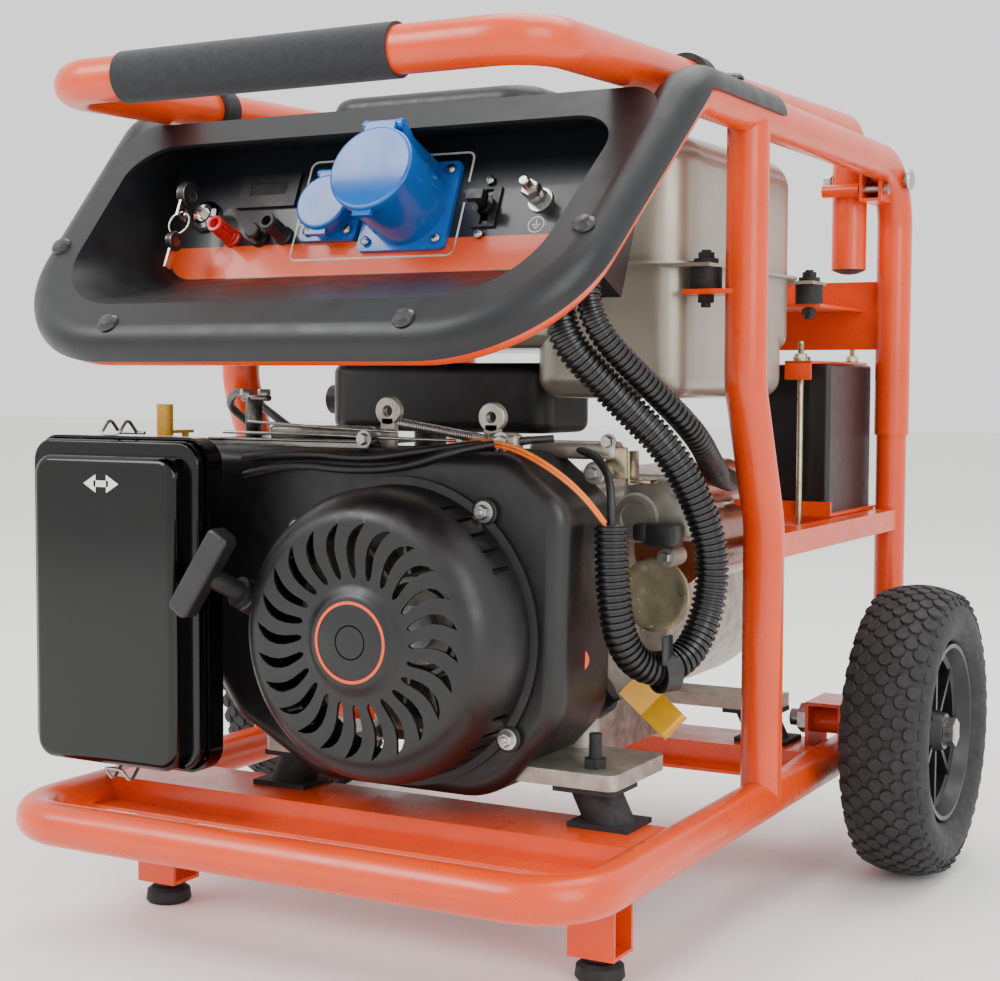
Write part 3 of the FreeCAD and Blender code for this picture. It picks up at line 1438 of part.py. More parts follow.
def engine_block():
    base = float(S.footBar)
    body = rounded_block(
        (176, case_rear - case_front, 206), (crank_x - 82, case_front, base + 8), 22, 12, "all"
    )
    sump = rounded_block((210, 150, 40), (crank_x - 96, case_front + 6, base + 2), 18)
    barrel = tilted(Part.makeBox(150, 120, 118, Vector(crank_x - 178, case_front + 8, crank_z - 59)))
    flange_ring = Part.makeCylinder(92, 14, Vector(crank_x, case_rear - 2, crank_z), Y_AXIS)
    # the front feet reach forward under the shroud, out to the rubber mounts
    feet = []
    for x, y in ENGINE_FEET:
        left = x - 26 if x < crank_x else crank_x + 84
        right = crank_x - 82 if x < crank_x else x + 26
        feet.append(rounded_block((right - left, case_front + 22 - (y - 23), 12), (left, y - 23, base), 8))
    cavity = Part.makeCylinder(
        cavity_radius, 2 * cavity_half, Vector(crank_x, -55 - cavity_half, crank_z), Y_AXIS
    )
    running = float(S.crankRadius) + 0.05
    bore = Part.makeCylinder(running, 400, Vector(crank_x, -200, crank_z), Y_AXIS)
    cylinder_bore = tilted(Part.makeCylinder(44, 190, Vector(crank_x - 200, -55, crank_z), X_AXIS))
    filler = Part.makeCylinder(
        16, 44, Vector(FILLER[0] - 14, FILLER[1], FILLER[2] - 10), Vector(0.8, -0.2, 0.56)
    )
    case = body.fuse([sump, barrel, flange_ring, filler] + feet)
    oil_bore = Part.makeCylinder(10.5, 60, Vector(*FILLER) - FILLER_AXIS * 20, FILLER_AXIS)
    holes = [Part.makeCylinder(5, 30, Vector(x, y, base - 5)) for x, y in ENGINE_FEET]
    case = case.cut([cavity, bore, cylinder_bore, oil_bore] + holes)
    node("crankcase", solid("Crankcase", largest(case)))
    mouth = Vector(*FILLER)
    face = filler_face()
    stick = Part.makeCylinder(10.4, face + 10, mouth - FILLER_AXIS * 9, FILLER_AXIS)
    knob = Part.makeCylinder(19, 12, mouth + FILLER_AXIS * face, FILLER_AXIS)
    wing = Part.makeBox(30, 8, 10, Vector(-15, -4, 0))
    wing.Placement = Placement(mouth + FILLER_AXIS * (face + 11.5), Rotation(Z_AXIS, FILLER_AXIS))
    dip = Part.makeCylinder(3, 40, mouth - FILLER_AXIS * 18, FILLER_AXIS)
    node("oil_cap", solid("OilCap", stick.fuse([knob, wing, dip])))


ENGINE_FEET = [(188.0, -192.0), (-76.0, -192.0)]
REAR_FEET = [(182.0, 168.0), (-98.0, 168.0)]
FILLER = (128.0, -118.0, 176.0)
FILLER_AXIS = Vector(0.8, -0.2, 0.56).normalize()


def filler_face():
    """From the filler's reference point to the mouth of its boss, along its axis."""
    start = Vector(FILLER[0] - 14, FILLER[1], FILLER[2] - 10)
    return (start - Vector(*FILLER)).dot(FILLER_AXIS) + 44 + 0.3


def cylinder_head():
    base_x = crank_x - 178
    front = case_front + 8
    gasket = Part.makeBox(42, 120, 118, Vector(base_x - 42.2, front, crank_z - 59))
    fins = []
    for i in range(6):
        slot = Part.makeBox(4, 140, 34, Vector(base_x - 38 + i * 6.4, front - 10, crank_z + 34))
        fins.append(slot)
        fins.append(Part.makeBox(4, 140, 34, Vector(base_x - 38 + i * 6.4, front - 10, crank_z - 68)))
    cover = rounded_block((30, 104, 96), (base_x - 72, front + 8, crank_z - 48), 10)
    head = tilted(gasket.cut(fins).fuse(cover))
    node("cylinder_head", solid("CylinderHead", head.removeSplitter()))


def shroud_outline():
    """The blower shroud's outline: across, height; round the flywheel, with a wing over the cylinder."""
    return [(-120, 168), (-40, 125), (118, 125), (176, 188), (180, 350), (132, 389), (-165, 389), (-165, 230)]


def shroud():
    front, depth, wall = -float(S.shroudFront), float(S.shroudDepth), float(S.shroudWall)
    corners = [Vector(a, front, b) for a, b in shroud_outline()]
    wire = closed_wire(corners, [40, 50, 60, 50, 30, 40, 18, 40])
    block = Part.Face(wire).extrude(Vector(0, depth, 0))
    rims = [e for e in block.Edges if abs(e.BoundBox.YMin - front) + abs(e.BoundBox.YMax - front) < 0.01]
    block = block.makeFillet(14, rims)
    inner = [Vector(a * 0.985, front + wall, crank_z + (b - crank_z) * 0.983) for a, b in shroud_outline()]
    core = Part.Face(closed_wire(inner, [38, 48, 58, 48, 28, 38, 16, 38])).extrude(Vector(0, depth + 5, 0))
    core_rims = [
        e
        for e in core.Edges
        if abs(e.BoundBox.YMin - front - wall) + abs(e.BoundBox.YMax - front - wall) < 0.01
    ]
    core = core.makeFillet(12, core_rims)
    intake = Part.makeCylinder(96, 40, Vector(crank_x, front - 20, crank_z), Y_AXIS)
    foot_top = float(S.footBar) + 18
    feet_cut = []
    for x, y in ENGINE_FEET:
        left = x - 40 if x < crank_x else crank_x + 78
        right = crank_x - 76 if x < crank_x else x + 40
        feet_cut.append(Part.makeBox(right - left, 90, foot_top - 90, Vector(left, y - 26, 90)))
    node("blower_shroud", solid("BlowerShroud", largest(block.cut([core, intake] + feet_cut))))


def recoil():
    front, rim, face = float(S.shroudFront), float(S.recoilRim), float(S.recoilFace)
    depth, wall = float(S.recoilDepth), float(S.recoilWall)
    skin = [
        (rim + 6, 0),
        (rim + 6, 4),
        (rim, 5),
        (rim - 1, 36),
        (face + 8, depth - 8),
        (face - 2, depth - 2),
        (40, depth),
    ]
    crown = [
        (36, depth + 3),
        (34, depth + 6),
        (0, depth + 6),
        (0, depth + 6 - wall),
        (32, depth + 6 - wall),
        (36, depth - wall),
    ]
    inside = [
        (face - 4, depth - wall - 2),
        (face + 4, depth - 10),
        (rim - wall - 1, 35),
        (rim - wall, 5),
        (rim - wall, 0),
    ]
    cover = turned(
        "RecoilBowl", skin + crown + inside, (S.crankSide, -front - 0.2, S.crankHeight), FACING_FRONT
    )
    doc.recompute()
    slots = []
    count = int(float(S.slotCount))
    for i in range(count):
        slot = Part.makeBox(36, 30, 5.2, Vector(44, -15, -2.6))
        slot.rotate(Vector(62, 0, 0), Y_AXIS, 18)
        slot.rotate(Vector(0, 0, 0), Y_AXIS, i * 360.0 / count)
        slot.translate(Vector(crank_x, -front - depth, crank_z))
        slots.append(slot)
    for group in range(4):
        for i in range(5):
            turn = 45 + group * 90 + (i - 2) * 8
            slit = Part.makeBox(30, 22, 4, Vector(rim - 16, 8, -2))
            slit.rotate(Vector(0, 0, 0), Y_AXIS, -turn)
            slit.translate(Vector(crank_x, -front - 38, crank_z))
            slots.append(slit)
    boss = Part.makeCylinder(13, 26, vector(GRIP_EXIT) - GRIP_WAY * 22, GRIP_WAY)
    rope_hole = Part.makeCylinder(8.6, 60, vector(GRIP_EXIT) - GRIP_WAY * 40, GRIP_WAY)
    bowl_core = Part.makeCylinder(
        rim - wall - 1, depth - 24, Vector(crank_x, -front - 0.2, crank_z), Vector(0, -1, 0)
    )
    ears = []
    for turn in (38, 128, 218, 308):
        ear = Part.makeCylinder(9, 5, Vector(rim + 7, 0, 0), Vector(0, -1, 0))
        ear.rotate(Vector(0, 0, 0), Y_AXIS, turn)
        ear.translate(Vector(crank_x, -front - 0.2, crank_z))
        ears.append(ear)
    shell = cover.Shape.fuse([boss.cut(bowl_core)] + ears).cut(slots + [rope_hole])
    node("recoil_cover", solid("RecoilCover", largest(shell.removeSplitter())))
    bar_middle = vector(GRIP_EXIT) + GRIP_WAY * 46
    stem = Part.makeCylinder(8, 62, vector(GRIP_EXIT) - GRIP_WAY * 16, GRIP_WAY)
    knob = Part.makeCylinder(12, 6, vector(GRIP_EXIT) + GRIP_WAY * 4.4, GRIP_WAY)
    bar = rounded_block((76, 20, 18), (-38, -10, -9), 6, 4)
    along = Vector(43, 0, 64.5).normalize()
    out = Vector(0, -1, 0)
    bar.Placement = Placement(bar_middle, Rotation(along, out.cross(along), out, "XZY"))
    node("recoil_grip", solid("RecoilGrip", stem.fuse([bar, knob]).removeSplitter()))


GRIP_EXIT = (-68.0, -280.0, 275.0)
GRIP_WAY = Vector(-0.30, -0.84, 0.45).normalize()


def turning_group():
    """Crankshaft with its throw, the flywheel with its fan, and the alternator's rotor."""
    radius = float(S.crankRadius)
    shaft = Part.makeCylinder(radius, 505, Vector(crank_x, -215, crank_z), Y_AXIS)
    web_front = Part.makeCylinder(54, 18, Vector(crank_x, -83, crank_z), Y_AXIS)
    web_rear = Part.makeCylinder(54, 18, Vector(crank_x, -45, crank_z), Y_AXIS)
    gap = Part.makeCylinder(60, 20, Vector(crank_x, -65, crank_z), Y_AXIS)
    throw = Part.makeCylinder(16, 22, Vector(crank_x - 32, -66, crank_z), Y_AXIS)
    crank = shaft.fuse([web_front, web_rear]).cut(gap).fuse(throw)
    rotor = Part.makeCylinder(rotor_radius, 130, Vector(crank_x, 100, crank_z), Y_AXIS)
    rotor = rotor.cut(Part.makeCylinder(radius, 200, Vector(crank_x, 50, crank_z), Y_AXIS))
    node("crankshaft", solid("Crankshaft", Part.makeCompound([crank.removeSplitter(), rotor])))
    wheel = turned(
        "Flywheel",
        [(radius, 0), (84, 0), (84, 26), (76, 26), (72, 8), (34, 8), (30, 40), (radius, 40)],
        (crank_x, -166, crank_z),
        FACING_FRONT,
    )
    doc.recompute()
    blades = []
    for i in range(14):
        blade = Part.makeBox(34, 32, 3, Vector(42, -40, -1.5))
        blade.rotate(Vector(0, 0, 0), Y_AXIS, i * 360.0 / 14)
        blade.translate(Vector(crank_x, -166, crank_z))
        blades.append(blade)
    cup = Part.makeCylinder(40, 30, Vector(crank_x, -212, crank_z), Y_AXIS)
    cup = cup.cut(Part.makeCylinder(36, 27, Vector(crank_x, -212, crank_z), Y_AXIS))
    cup = cup.cut(Part.makeCylinder(radius, 60, Vector(crank_x, -220, crank_z), Y_AXIS))
    wheel_shape = wheel.Shape.fuse(blades + [cup])
    node("flywheel", solid("FlywheelFan", wheel_shape.removeSplitter()))


def alternator():
    wall = 6.0
    front = case_rear + 12.3
    shell = Part.makeCylinder(housing_radius, housing_rear - front, Vector(crank_x, front, crank_z), Y_AXIS)
    inner = Part.makeCylinder(
        housing_radius - wall, housing_rear - front - 24, Vector(crank_x, front + 12, crank_z), Y_AXIS
    )
    bore = Part.makeCylinder(float(S.crankRadius) + 0.05, 400, Vector(crank_x, 0, crank_z), Y_AXIS)
    feet = []
    base = float(S.footBar)
    for x, y in REAR_FEET:
        low = min(x, crank_x)
        foot_at = Vector(low - (24 if x < crank_x else 0), y - 23, base)
        feet.append(Part.makeBox(abs(x - crank_x) + 24, 46, 12, foot_at))
    vents = []
    for i in range(12):
        vent = Part.makeBox(36, 20, 8, Vector(52, -10, -4))
        vent.rotate(Vector(0, 0, 0), Y_AXIS, i * 30)
        vent.translate(Vector(crank_x, housing_rear - 4, crank_z))
        vents.append(vent)
    holes = [Part.makeCylinder(5, 30, Vector(x, y, base - 5)) for x, y in REAR_FEET]
    housing = shell.fuse(feet).cut([inner, bore] + vents + holes)
    stator = Part.makeCylinder(housing_radius - wall - 0.1, 120, Vector(crank_x, 105, crank_z), Y_AXIS)
    stator = stator.cut(Part.makeCylinder(stator_bore, 200, Vector(crank_x, 50, crank_z), Y_AXIS))
    node("alternator_housing", solid("AlternatorHousing", Part.makeCompound([largest(housing), stator])))


def mounts():
    """Slanted rubber mounts under the engine and alternator, and small ones under the tank."""
    items = []
    top, base = float(S.footBar), float(S.crossTop)
    radius = float(S.rubberRadius)
    for x, y in ENGINE_FEET + REAR_FEET:
        lean = 1 if x > crank_x else -1
        outer = Part.makeBox(50, 44, 4, Vector(x - 25, y - 22, top - 4))
        foot = Part.makeBox(50, 44, 4, Vector(x - 25 + lean * 12, y - 22, base))
        low, high = Vector(x + lean * 12, y, base + 3), Vector(x, y, top - 3)
        rubber = Part.makeCylinder(radius - 1, (high - low).Length * 2, low - (high - low) / 2, high - low)
        rubber = rubber.common(Part.makeBox(200, 200, top - base - 6, Vector(x - 100, y - 100, base + 3)))
        bolt = Part.makeCylinder(4.8, 40, Vector(x, y, top - 2))
        cap = hexagon(9, 7, (x, y, top + 12.2))
        items.append(outer.fuse([foot, rubber, bolt, cap]))
    seat = float(S.tankSeam - S.tankSheet) - 3
    for x, y in tank_mount_places():
        puck = Part.makeCylinder(13, 18, Vector(x, y, seat - 18))
        pad = Part.makeCylinder(10, 4, Vector(x, y, seat + 3))
        bolt = Part.makeCylinder(4, 46, Vector(x, y, seat - 32))
        head = hexagon(7, 5, (x, y, seat + 7))
        lock = hexagon(7, 6, (x, y, seat - 28.2))
        items.append(puck.fuse([pad, bolt, head, lock]))
    node("rubber_mounts", solid("RubberMounts", Part.makeCompound(items)))


def air_filter():
    side, foot = float(S.filterSide), float(S.filterFoot)
    wide, high, deep = float(S.filterWidth), float(S.filterHeight), float(S.filterDepth)
    lip, face = float(S.filterLip), -float(S.filterFront)
    cover_back = face + deep

    def shell(width, height, depth, start, corner, edge):
        """A flat-backed shell, open to the rear, its rounded edges to the front."""
        block = rounded_block((width, height, depth), (-width / 2, 0, 0), corner, edge, "top")
        core = rounded_block(
            (width - 4, height - 4, depth), (-width / 2 + 2, 2, -2), corner - 2, edge - 1.5, "top"
        )
        piece = block.cut(core)
        piece.Placement = Placement(Vector(-side, start, foot), FACING_FRONT)
        return piece

    cover = shell(wide, high, deep, cover_back, 16, 7)
    rim = shell(wide + 2 * lip, high + lip, 10, cover_back, 18, 3)
    opening = Part.makeBox(
        wide - 3, 30, high - 3, Vector(-side - wide / 2 + 1.5, cover_back - 20, foot + 1.5)
    )
    node("filter_cover", solid("FilterCover", largest(cover.fuse(rim.cut(opening)))))
    base_depth = 20.0
    base_width, base_height = wide + 2 * lip + 6, high + lip + 6
    start = cover_back + 0.3 + base_depth
    block = rounded_block((base_width, base_height, base_depth), (-base_width / 2, -3, 0), 20, 4, "bottom")
    core = rounded_block((base_width - 4, base_height - 4, base_depth), (-base_width / 2 + 2, -1, 2), 18)
    tray = block.cut(core)
    tray.Placement = Placement(Vector(-side, start, foot), FACING_FRONT)
    horn = Part.makeCylinder(20, -239.7 - start + 1, Vector(-198, start - 1, 318), Y_AXIS)
    duct = Part.makeCylinder(15, 80, Vector(-198, start - 20, 318), Y_AXIS)
    node("filter_base", solid("FilterBase", largest(tray.fuse(horn).cut(duct))))
    for name, z, sign in (("clip_top", foot - 3 + base_height, 1), ("clip_bottom", foot - 3, -1)):
        y_back, y_front = cover_back + 9, cover_back - 13
        path = [
            (-side - 9, y_back, z + sign * 2.5),
            (-side - 9, (y_back + y_front) / 2, z + sign * 14),
            (-side - 9, y_front, z + sign * 2.0),
            (-side + 9, y_front, z + sign * 2.0),
            (-side + 9, (y_back + y_front) / 2, z + sign * 14),
            (-side + 9, y_back, z + sign * 2.5),
        ]
        wire = swept(bent_path(path, [5, 4, 4, 5]), 1.4)
        barrel = Part.makeCylinder(1.4, 34, Vector(-side - 17, y_back, z + sign * 2.5), X_AXIS)
        node(name, solid(name.title().replace("_", ""), wire.fuse(barrel).removeSplitter()))


def carburettor():
    body = rounded_block((52, 52, 62), (-224, -228, 286), 8)
    flange_ = Part.makeBox(58, 6, 60, Vector(-228, -176.2, 288))
    intake = Part.makeCylinder(19, 12, Vector(-198, -239.5, 318), Y_AXIS)
    bowl = Part.makeCylinder(20, 26, Vector(-198, -202, 260.2))
    throat = Part.makeCylinder(14, 90, Vector(-198, -245, 318), Y_AXIS)
    pivot = Part.makeCylinder(3.06, 40, Vector(*CHOKE_AT) - Vector(0, 0, 30))
    node("carburettor", solid("Carburettor", body.fuse([flange_, intake, bowl]).cut([throat, pivot])))
    post = Part.makeCylinder(3, 58, Vector(*CHOKE_AT) - Vector(0, 0, 20))
    arm = Part.makeBox(9, 30, 2.5, Vector(CHOKE_AT[0] - 4.5, CHOKE_AT[1] - 24, CHOKE_AT[2] + 36))
    knob = rounded_block((14, 8, 26), (CHOKE_AT[0] - 7, CHOKE_AT[1] - 30, CHOKE_AT[2] + 34), 3)
    node("choke_lever", solid("ChokeLever", post.fuse([arm, knob]).removeSplitter()))


CHOKE_AT = (-183.0, -212.0, 362.0)


def exhaust():
    body = rounded_block((228, 104, 62), (-174, -18, 396), 22, 10, "all")
    pipe = Part.makeCylinder(15, 30, Vector(-70, -2, 377))
    outlet = Part.makeCylinder(14, 46, Vector(-174 - 30, 40, 424), X_AXIS)
    hollow = Part.makeCylinder(11, 60, Vector(-174 - 40, 40, 424), X_AXIS)
    node("muffler", solid("Muffler", largest(body.fuse([pipe, outlet]).cut([hollow]))))


def starter():
    motor = Part.makeCylinder(32, 118, Vector(190, -58, 306), Y_AXIS)
    nose = Part.makeCone(26, 32, 44, Vector(190, -102.2, 306), Y_AXIS)
    solenoid = Part.makeCylinder(19, 84, Vector(196, -40, 358), Y_AXIS)
    bridge = Part.makeBox(16, 60, 30, Vector(186, -30, 326))
    lug = Part.makeBox(60, 18, 30, Vector(128, -84, 292))
    case_block = Part.makeBox(400, 400, 400, Vector(124.2 - 400 + 12, -200, 100))
    shape = motor.fuse([nose, solenoid, bridge, lug]).cut(case_block)
    node("starter_motor", solid("StarterMotor", largest(shape)))


def control_bracket():
    """The folded bracket over the shroud that carries the governor's spring and the throttle screw."""
    deck = Part.makeBox(160, 74, 2, Vector(-160, -215, 391))
    wall = Part.makeBox(160, 2, 26, Vector(-160, -215, 391))
    ear = Part.makeBox(2, 40, 34, Vector(-2, -190, 391))
    lever = Part.makeBox(10, 2.5, 44, Vector(34, -170, 391))
    base = Part.makeBox(60, 24, 2, Vector(-10, -182, 391))
    holes = [Part.makeCylinder(3, 10, Vector(x, -160, 388)) for x in (-120, -60)]
    bolt = Part.makeCylinder(4, 34, Vector(-90, -176, 393))
    head = hexagon(7, 6, (-90, -176, 402))
    spring = Part.makeCylinder(3.4, 62, Vector(40, -168, 428), X_AXIS)
    post = Part.makeBox(4, 12, 42, Vector(101, -174, 389.3))
    shape = deck.fuse([wall, ear, lever, base]).cut(holes)
    pieces = [largest(shape), bolt.fuse(head), spring.cut(Part.makeBox(5, 9, 9, Vector(39, -172, 424))), post]
    node("control_bracket", solid("ControlBracket", Part.makeCompound(pieces)))


def smooth_path(points):
    """Straight runs with arcs as large as each pair of runs allows."""
    radii = []
    for i in range(1, len(points) - 1):
        before = vector(points[i]) - vector(points[i - 1])
        after = vector(points[i + 1]) - vector(points[i])
        turn = before.getAngle(after)
        radii.append(0.45 * min(before.Length, after.Length) / math.tan(turn / 2))
    return bent_path(points, radii)


CONDUIT_MAIN = [
    on_plate(150, 8, -34),
    on_plate(150, -30, -34),
    (186, -160, 432),
    (228, -134, 384),
    (250, -112, 318),
    (247, -114, 264),
    (236, -136, 226),
    (212, -172, 224),
    (199, -190, 268),
    (198, -188, 336),
]


def conduits():
    node("wiring_conduit", solid("WiringConduit", swept(smooth_path(CONDUIT_MAIN), S.conduitRadius)))


def handle_hooks():
    """Rubber rings round the handle's arms, which ride with the handle and rest it on the frame."""
    hooks = []
    w, arm = float(half_width), float(arm_side)
    for side, y in ((1, -78.0), (-1, -134.0)):
        share = (float(S.pivotSet) - y) / float(S.handleReach)
        arm_z = float(handle_back_height) - share * float(S.handleDip)
        ring = Part.makeCylinder(float(tube_radius) + 5, 18, Vector(side * arm, y - 9, arm_z), Y_AXIS)
        bore = Part.makeCylinder(float(tube_radius) + 0.4, 20, Vector(side * arm, y - 10, arm_z), Y_AXIS)
        hooks.append(ring.cut(bore))
    node("handle_hooks", solid("HandleHooks", Part.makeCompound(hooks)))


# ---------------------------------------------------------------- build everything and write it out
tube_frame()
front_uprights()
cross_members()
wheels()
axle_bracket = both_sides("AxleBrackets", axle_parts())
axle_bolts = both_sides("AxleBolts", axle_bolt())
handle()
node("weld_brackets", compound("WeldBrackets", axle_bracket, both_sides("HandleBrackets", handle_bracket())))
node("frame_bolts", compound("FrameBolts", axle_bolts, both_sides("HandleBolts", handle_bolt())))
lock_pins()
handle_hooks()
bezel()
bezel_screws()
control_plate()
panel_fittings()
fuel_tank()
tank_brackets()
battery()
engine_block()
cylinder_head()
shroud()
recoil()
turning_group()
alternator()
mounts()
air_filter()
carburettor()
exhaust()
starter()
control_bracket()
conduits()
doc.recompute()

failed = [o.Name for o in doc.Objects if "Invalid" in o.State or "Error" in o.State]
if failed:
    raise RuntimeError(f"these objects failed: {failed}")
for label, item in parts.items():
    if item.Shape.isNull() or not item.Shape.isValid() or not item.Shape.Solids:
        raise RuntimeError(f"{label} has no valid solid")

os.makedirs("parts", exist_ok=True)
for label, item in parts.items():
    item.Shape.exportStep(os.path.join("parts", label + ".step"))
bounds = FreeCAD.BoundBox()
for item in parts.values():
    bounds.add(item.Shape.BoundBox)
print(
    len(parts),
    "parts,",
    [round(v, 1) for v in (bounds.XMin, bounds.XMax, bounds.YMin, bounds.YMax, bounds.ZMin, bounds.ZMax)],
)
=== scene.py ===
import math

import bpy
from mathutils import Matrix, Vector


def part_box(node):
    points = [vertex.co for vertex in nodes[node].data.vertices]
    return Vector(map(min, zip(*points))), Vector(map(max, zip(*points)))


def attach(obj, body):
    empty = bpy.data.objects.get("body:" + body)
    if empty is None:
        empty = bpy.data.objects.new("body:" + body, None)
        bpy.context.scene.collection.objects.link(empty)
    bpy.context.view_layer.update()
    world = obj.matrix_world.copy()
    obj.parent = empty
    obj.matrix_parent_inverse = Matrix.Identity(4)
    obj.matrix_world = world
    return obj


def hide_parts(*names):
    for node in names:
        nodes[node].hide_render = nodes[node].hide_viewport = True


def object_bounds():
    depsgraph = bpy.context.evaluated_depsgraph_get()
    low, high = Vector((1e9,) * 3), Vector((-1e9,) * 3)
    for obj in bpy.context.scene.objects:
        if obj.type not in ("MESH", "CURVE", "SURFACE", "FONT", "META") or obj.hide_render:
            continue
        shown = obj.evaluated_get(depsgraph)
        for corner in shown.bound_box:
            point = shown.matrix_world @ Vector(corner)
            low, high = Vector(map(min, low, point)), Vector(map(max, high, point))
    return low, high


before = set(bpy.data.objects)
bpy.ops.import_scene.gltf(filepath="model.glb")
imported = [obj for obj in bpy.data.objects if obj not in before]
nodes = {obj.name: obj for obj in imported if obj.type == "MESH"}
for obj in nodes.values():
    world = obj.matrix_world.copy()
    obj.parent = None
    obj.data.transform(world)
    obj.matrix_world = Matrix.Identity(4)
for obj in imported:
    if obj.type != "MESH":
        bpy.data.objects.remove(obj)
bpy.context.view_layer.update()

mm = 0.001
sameHeight = 0.01 * mm


# camera
view = {
    "place": (0.7541, -1.3823, 0.4408),
    "yaw": 0.499,
    "pitch": 0.061,
    "roll": 0.004,
    "lens": 63.7,
}


def addCamera():
    data = bpy.data.cameras.new("camera")
    data.lens = view["lens"]
    data.sensor_width = 36
    data.clip_end = 50
    camera = bpy.data.objects.new("camera", data)
    bpy.context.scene.collection.objects.link(camera)
    turn = Matrix.Rotation(view["yaw"], 3, "Z") @ Matrix.Rotation(math.pi / 2 - view["pitch"], 3, "X")
    turn = turn @ Matrix.Rotation(view["roll"], 3, "Z")
    camera.location = view["place"]
    camera.rotation_euler = turn.to_euler()
    bpy.context.scene.camera = camera


addCamera()
print("camera placed")


# modelling helpers
def deselectAll():
    if bpy.context.object and bpy.context.object.mode != "OBJECT":
        bpy.ops.object.mode_set(mode="OBJECT")
    bpy.ops.object.select_all(action="DESELECT")


def takeUp(obj):
    deselectAll()
    obj.select_set(True)
    bpy.context.view_layer.objects.active = obj


def applyPlace(obj):
    takeUp(obj)
    bpy.ops.object.transform_apply(location=True, rotation=True, scale=True)


def moveTo(obj, place, turn=None):
    # the piece was modelled upright at the origin
    obj.matrix_world = Matrix.Translation(place) @ (turn.to_4x4() if turn else Matrix.Identity(4))
    applyPlace(obj)


def cleanMesh(obj, gap=0.00002):
    takeUp(obj)
    bpy.ops.object.mode_set(mode="EDIT")
    bpy.ops.mesh.select_all(action="SELECT")
    bpy.ops.mesh.remove_doubles(threshold=gap)
    bpy.ops.mesh.normals_make_consistent(inside=False)
    bpy.ops.object.mode_set(mode="OBJECT")


def useModifier(obj, kind, **settings):
    takeUp(obj)
    mod = obj.modifiers.new(kind.lower(), kind)
    for key, value in settings.items():
        setattr(mod, key, value)
    bpy.ops.object.modifier_apply(modifier=mod.name)


def joinAll(pieces):
    deselectAll()
    for piece in pieces:
        piece.select_set(True)
    bpy.context.view_layer.objects.active = pieces[0]
    if len(pieces) > 1:
        bpy.ops.object.join()
    return bpy.context.object


def copyOf(obj):
    twin = obj.copy()
    twin.data = obj.data.copy()
    bpy.context.scene.collection.objects.link(twin)
    return twin


def selectVertices(obj, wanted):
    # leaves the object in edit mode with just these vertices selected
    takeUp(obj)
    bpy.ops.object.mode_set(mode="EDIT")
    bpy.ops.mesh.select_mode(type="VERT")
    bpy.ops.mesh.select_all(action="DESELECT")
    bpy.ops.object.mode_set(mode="OBJECT")
    for vertex in obj.data.vertices:
        vertex.select = wanted(vertex.co)
    bpy.ops.object.mode_set(mode="EDIT")


def turnCopies(obj, count):
    # copies round the Z axis, evenly spaced
    pivot = bpy.data.objects.new("pivot", None)
    bpy.context.scene.collection.objects.link(pivot)
    pivot.rotation_euler = (0, 0, 2 * math.pi / count)
    bpy.context.view_layer.update()
    useModifier(
        obj, "ARRAY", count=count, use_relative_offset=False, use_object_offset=True, offset_object=pivot
    )
    bpy.data.objects.remove(pivot)
    return obj


def finish(obj, name, body, material, angle=35, instead=()):
    # angle: edges sharper than this stay crisp; instead: the plain nodes that the piece stands for
    obj.name = name
    obj.data.name = name
    obj.data.materials.clear()
    obj.data.materials.append(material)
    takeUp(obj)
    bpy.ops.object.shade_smooth_by_angle(angle=math.radians(angle))
    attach(obj, body)
    if instead:
        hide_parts(*instead)
    deselectAll()
    return obj


def lathe(profile, sides=48, solid=True):
    # profile: (radius, height) in mm, drawn ring by ring up the Z axis
    deselectAll()
    fill = "NGON" if solid else "NOTHING"
    radius, height = profile[0]
    bpy.ops.mesh.primitive_circle_add(
        vertices=sides, radius=radius * mm, location=(0, 0, height * mm), fill_type=fill
    )
    obj = bpy.context.object
    applyPlace(obj)
    bpy.ops.object.mode_set(mode="EDIT")
    bpy.ops.mesh.select_mode(type="VERT")
    bpy.ops.mesh.select_all(action="SELECT")
    for (radius, height), (nextRadius, nextHeight) in zip(profile, profile[1:]):
        lift = (0, 0, (nextHeight - height) * mm)
        bpy.ops.mesh.extrude_region_move(TRANSFORM_OT_translate={"value": lift})
        share = nextRadius / radius
        bpy.ops.transform.resize(value=(share, share, 1))
    bpy.ops.object.mode_set(mode="OBJECT")
    cleanMesh(obj)
    return obj


def block(size, place=(0, 0, 0), edge=0.0, steps=2):
    # a cube primitive at its size in mm, its edges bevelled
    deselectAll()
    bpy.ops.mesh.primitive_cube_add(size=1, location=[v * mm for v in place], scale=[v * mm for v in size])
    obj = bpy.context.object
    applyPlace(obj)
    if edge:
        bpy.ops.object.mode_set(mode="EDIT")
        bpy.ops.mesh.select_all(action="SELECT")
        bpy.ops.mesh.bevel(offset=edge * mm, segments=steps, affect="EDGES")
        bpy.ops.object.mode_set(mode="OBJECT")
    return obj


def hexHead(across, thick):
    # a six-sided head with its top corners turned off
    corner = across / math.sqrt(3)
    return lathe([(corner, 0), (corner, thick * 0.8), (corner * 0.86, thick)], sides=6)


def towards(axis, spin=0.0):
    # turns a piece's own +Z to the given way
    return Vector(axis).normalized().to_track_quat("Z", "Y").to_matrix() @ Matrix.Rotation(spin, 3, "Z")


# finishes
coatRoughness = 0.08


def linear(code):
    values = [int(code[i:i + 2], 16) / 255 for i in (0, 2, 4)]
    return tuple(v / 12.92 if v <= 0.04045 else ((v + 0.055) / 1.055) ** 2.4 for v in values) + (1.0,)


def addNode(tree, kind, settings=None, inputs=None):
    item = tree.nodes.new(kind)
    for key, value in (settings or {}).items():
        setattr(item, key, value)
    for key, value in (inputs or {}).items():
        if isinstance(value, tuple) and hasattr(value[0], "outputs"):
            tree.links.new(value[0].outputs[value[1]], item.inputs[key])
        else:
            item.inputs[key].default_value = value
    return item


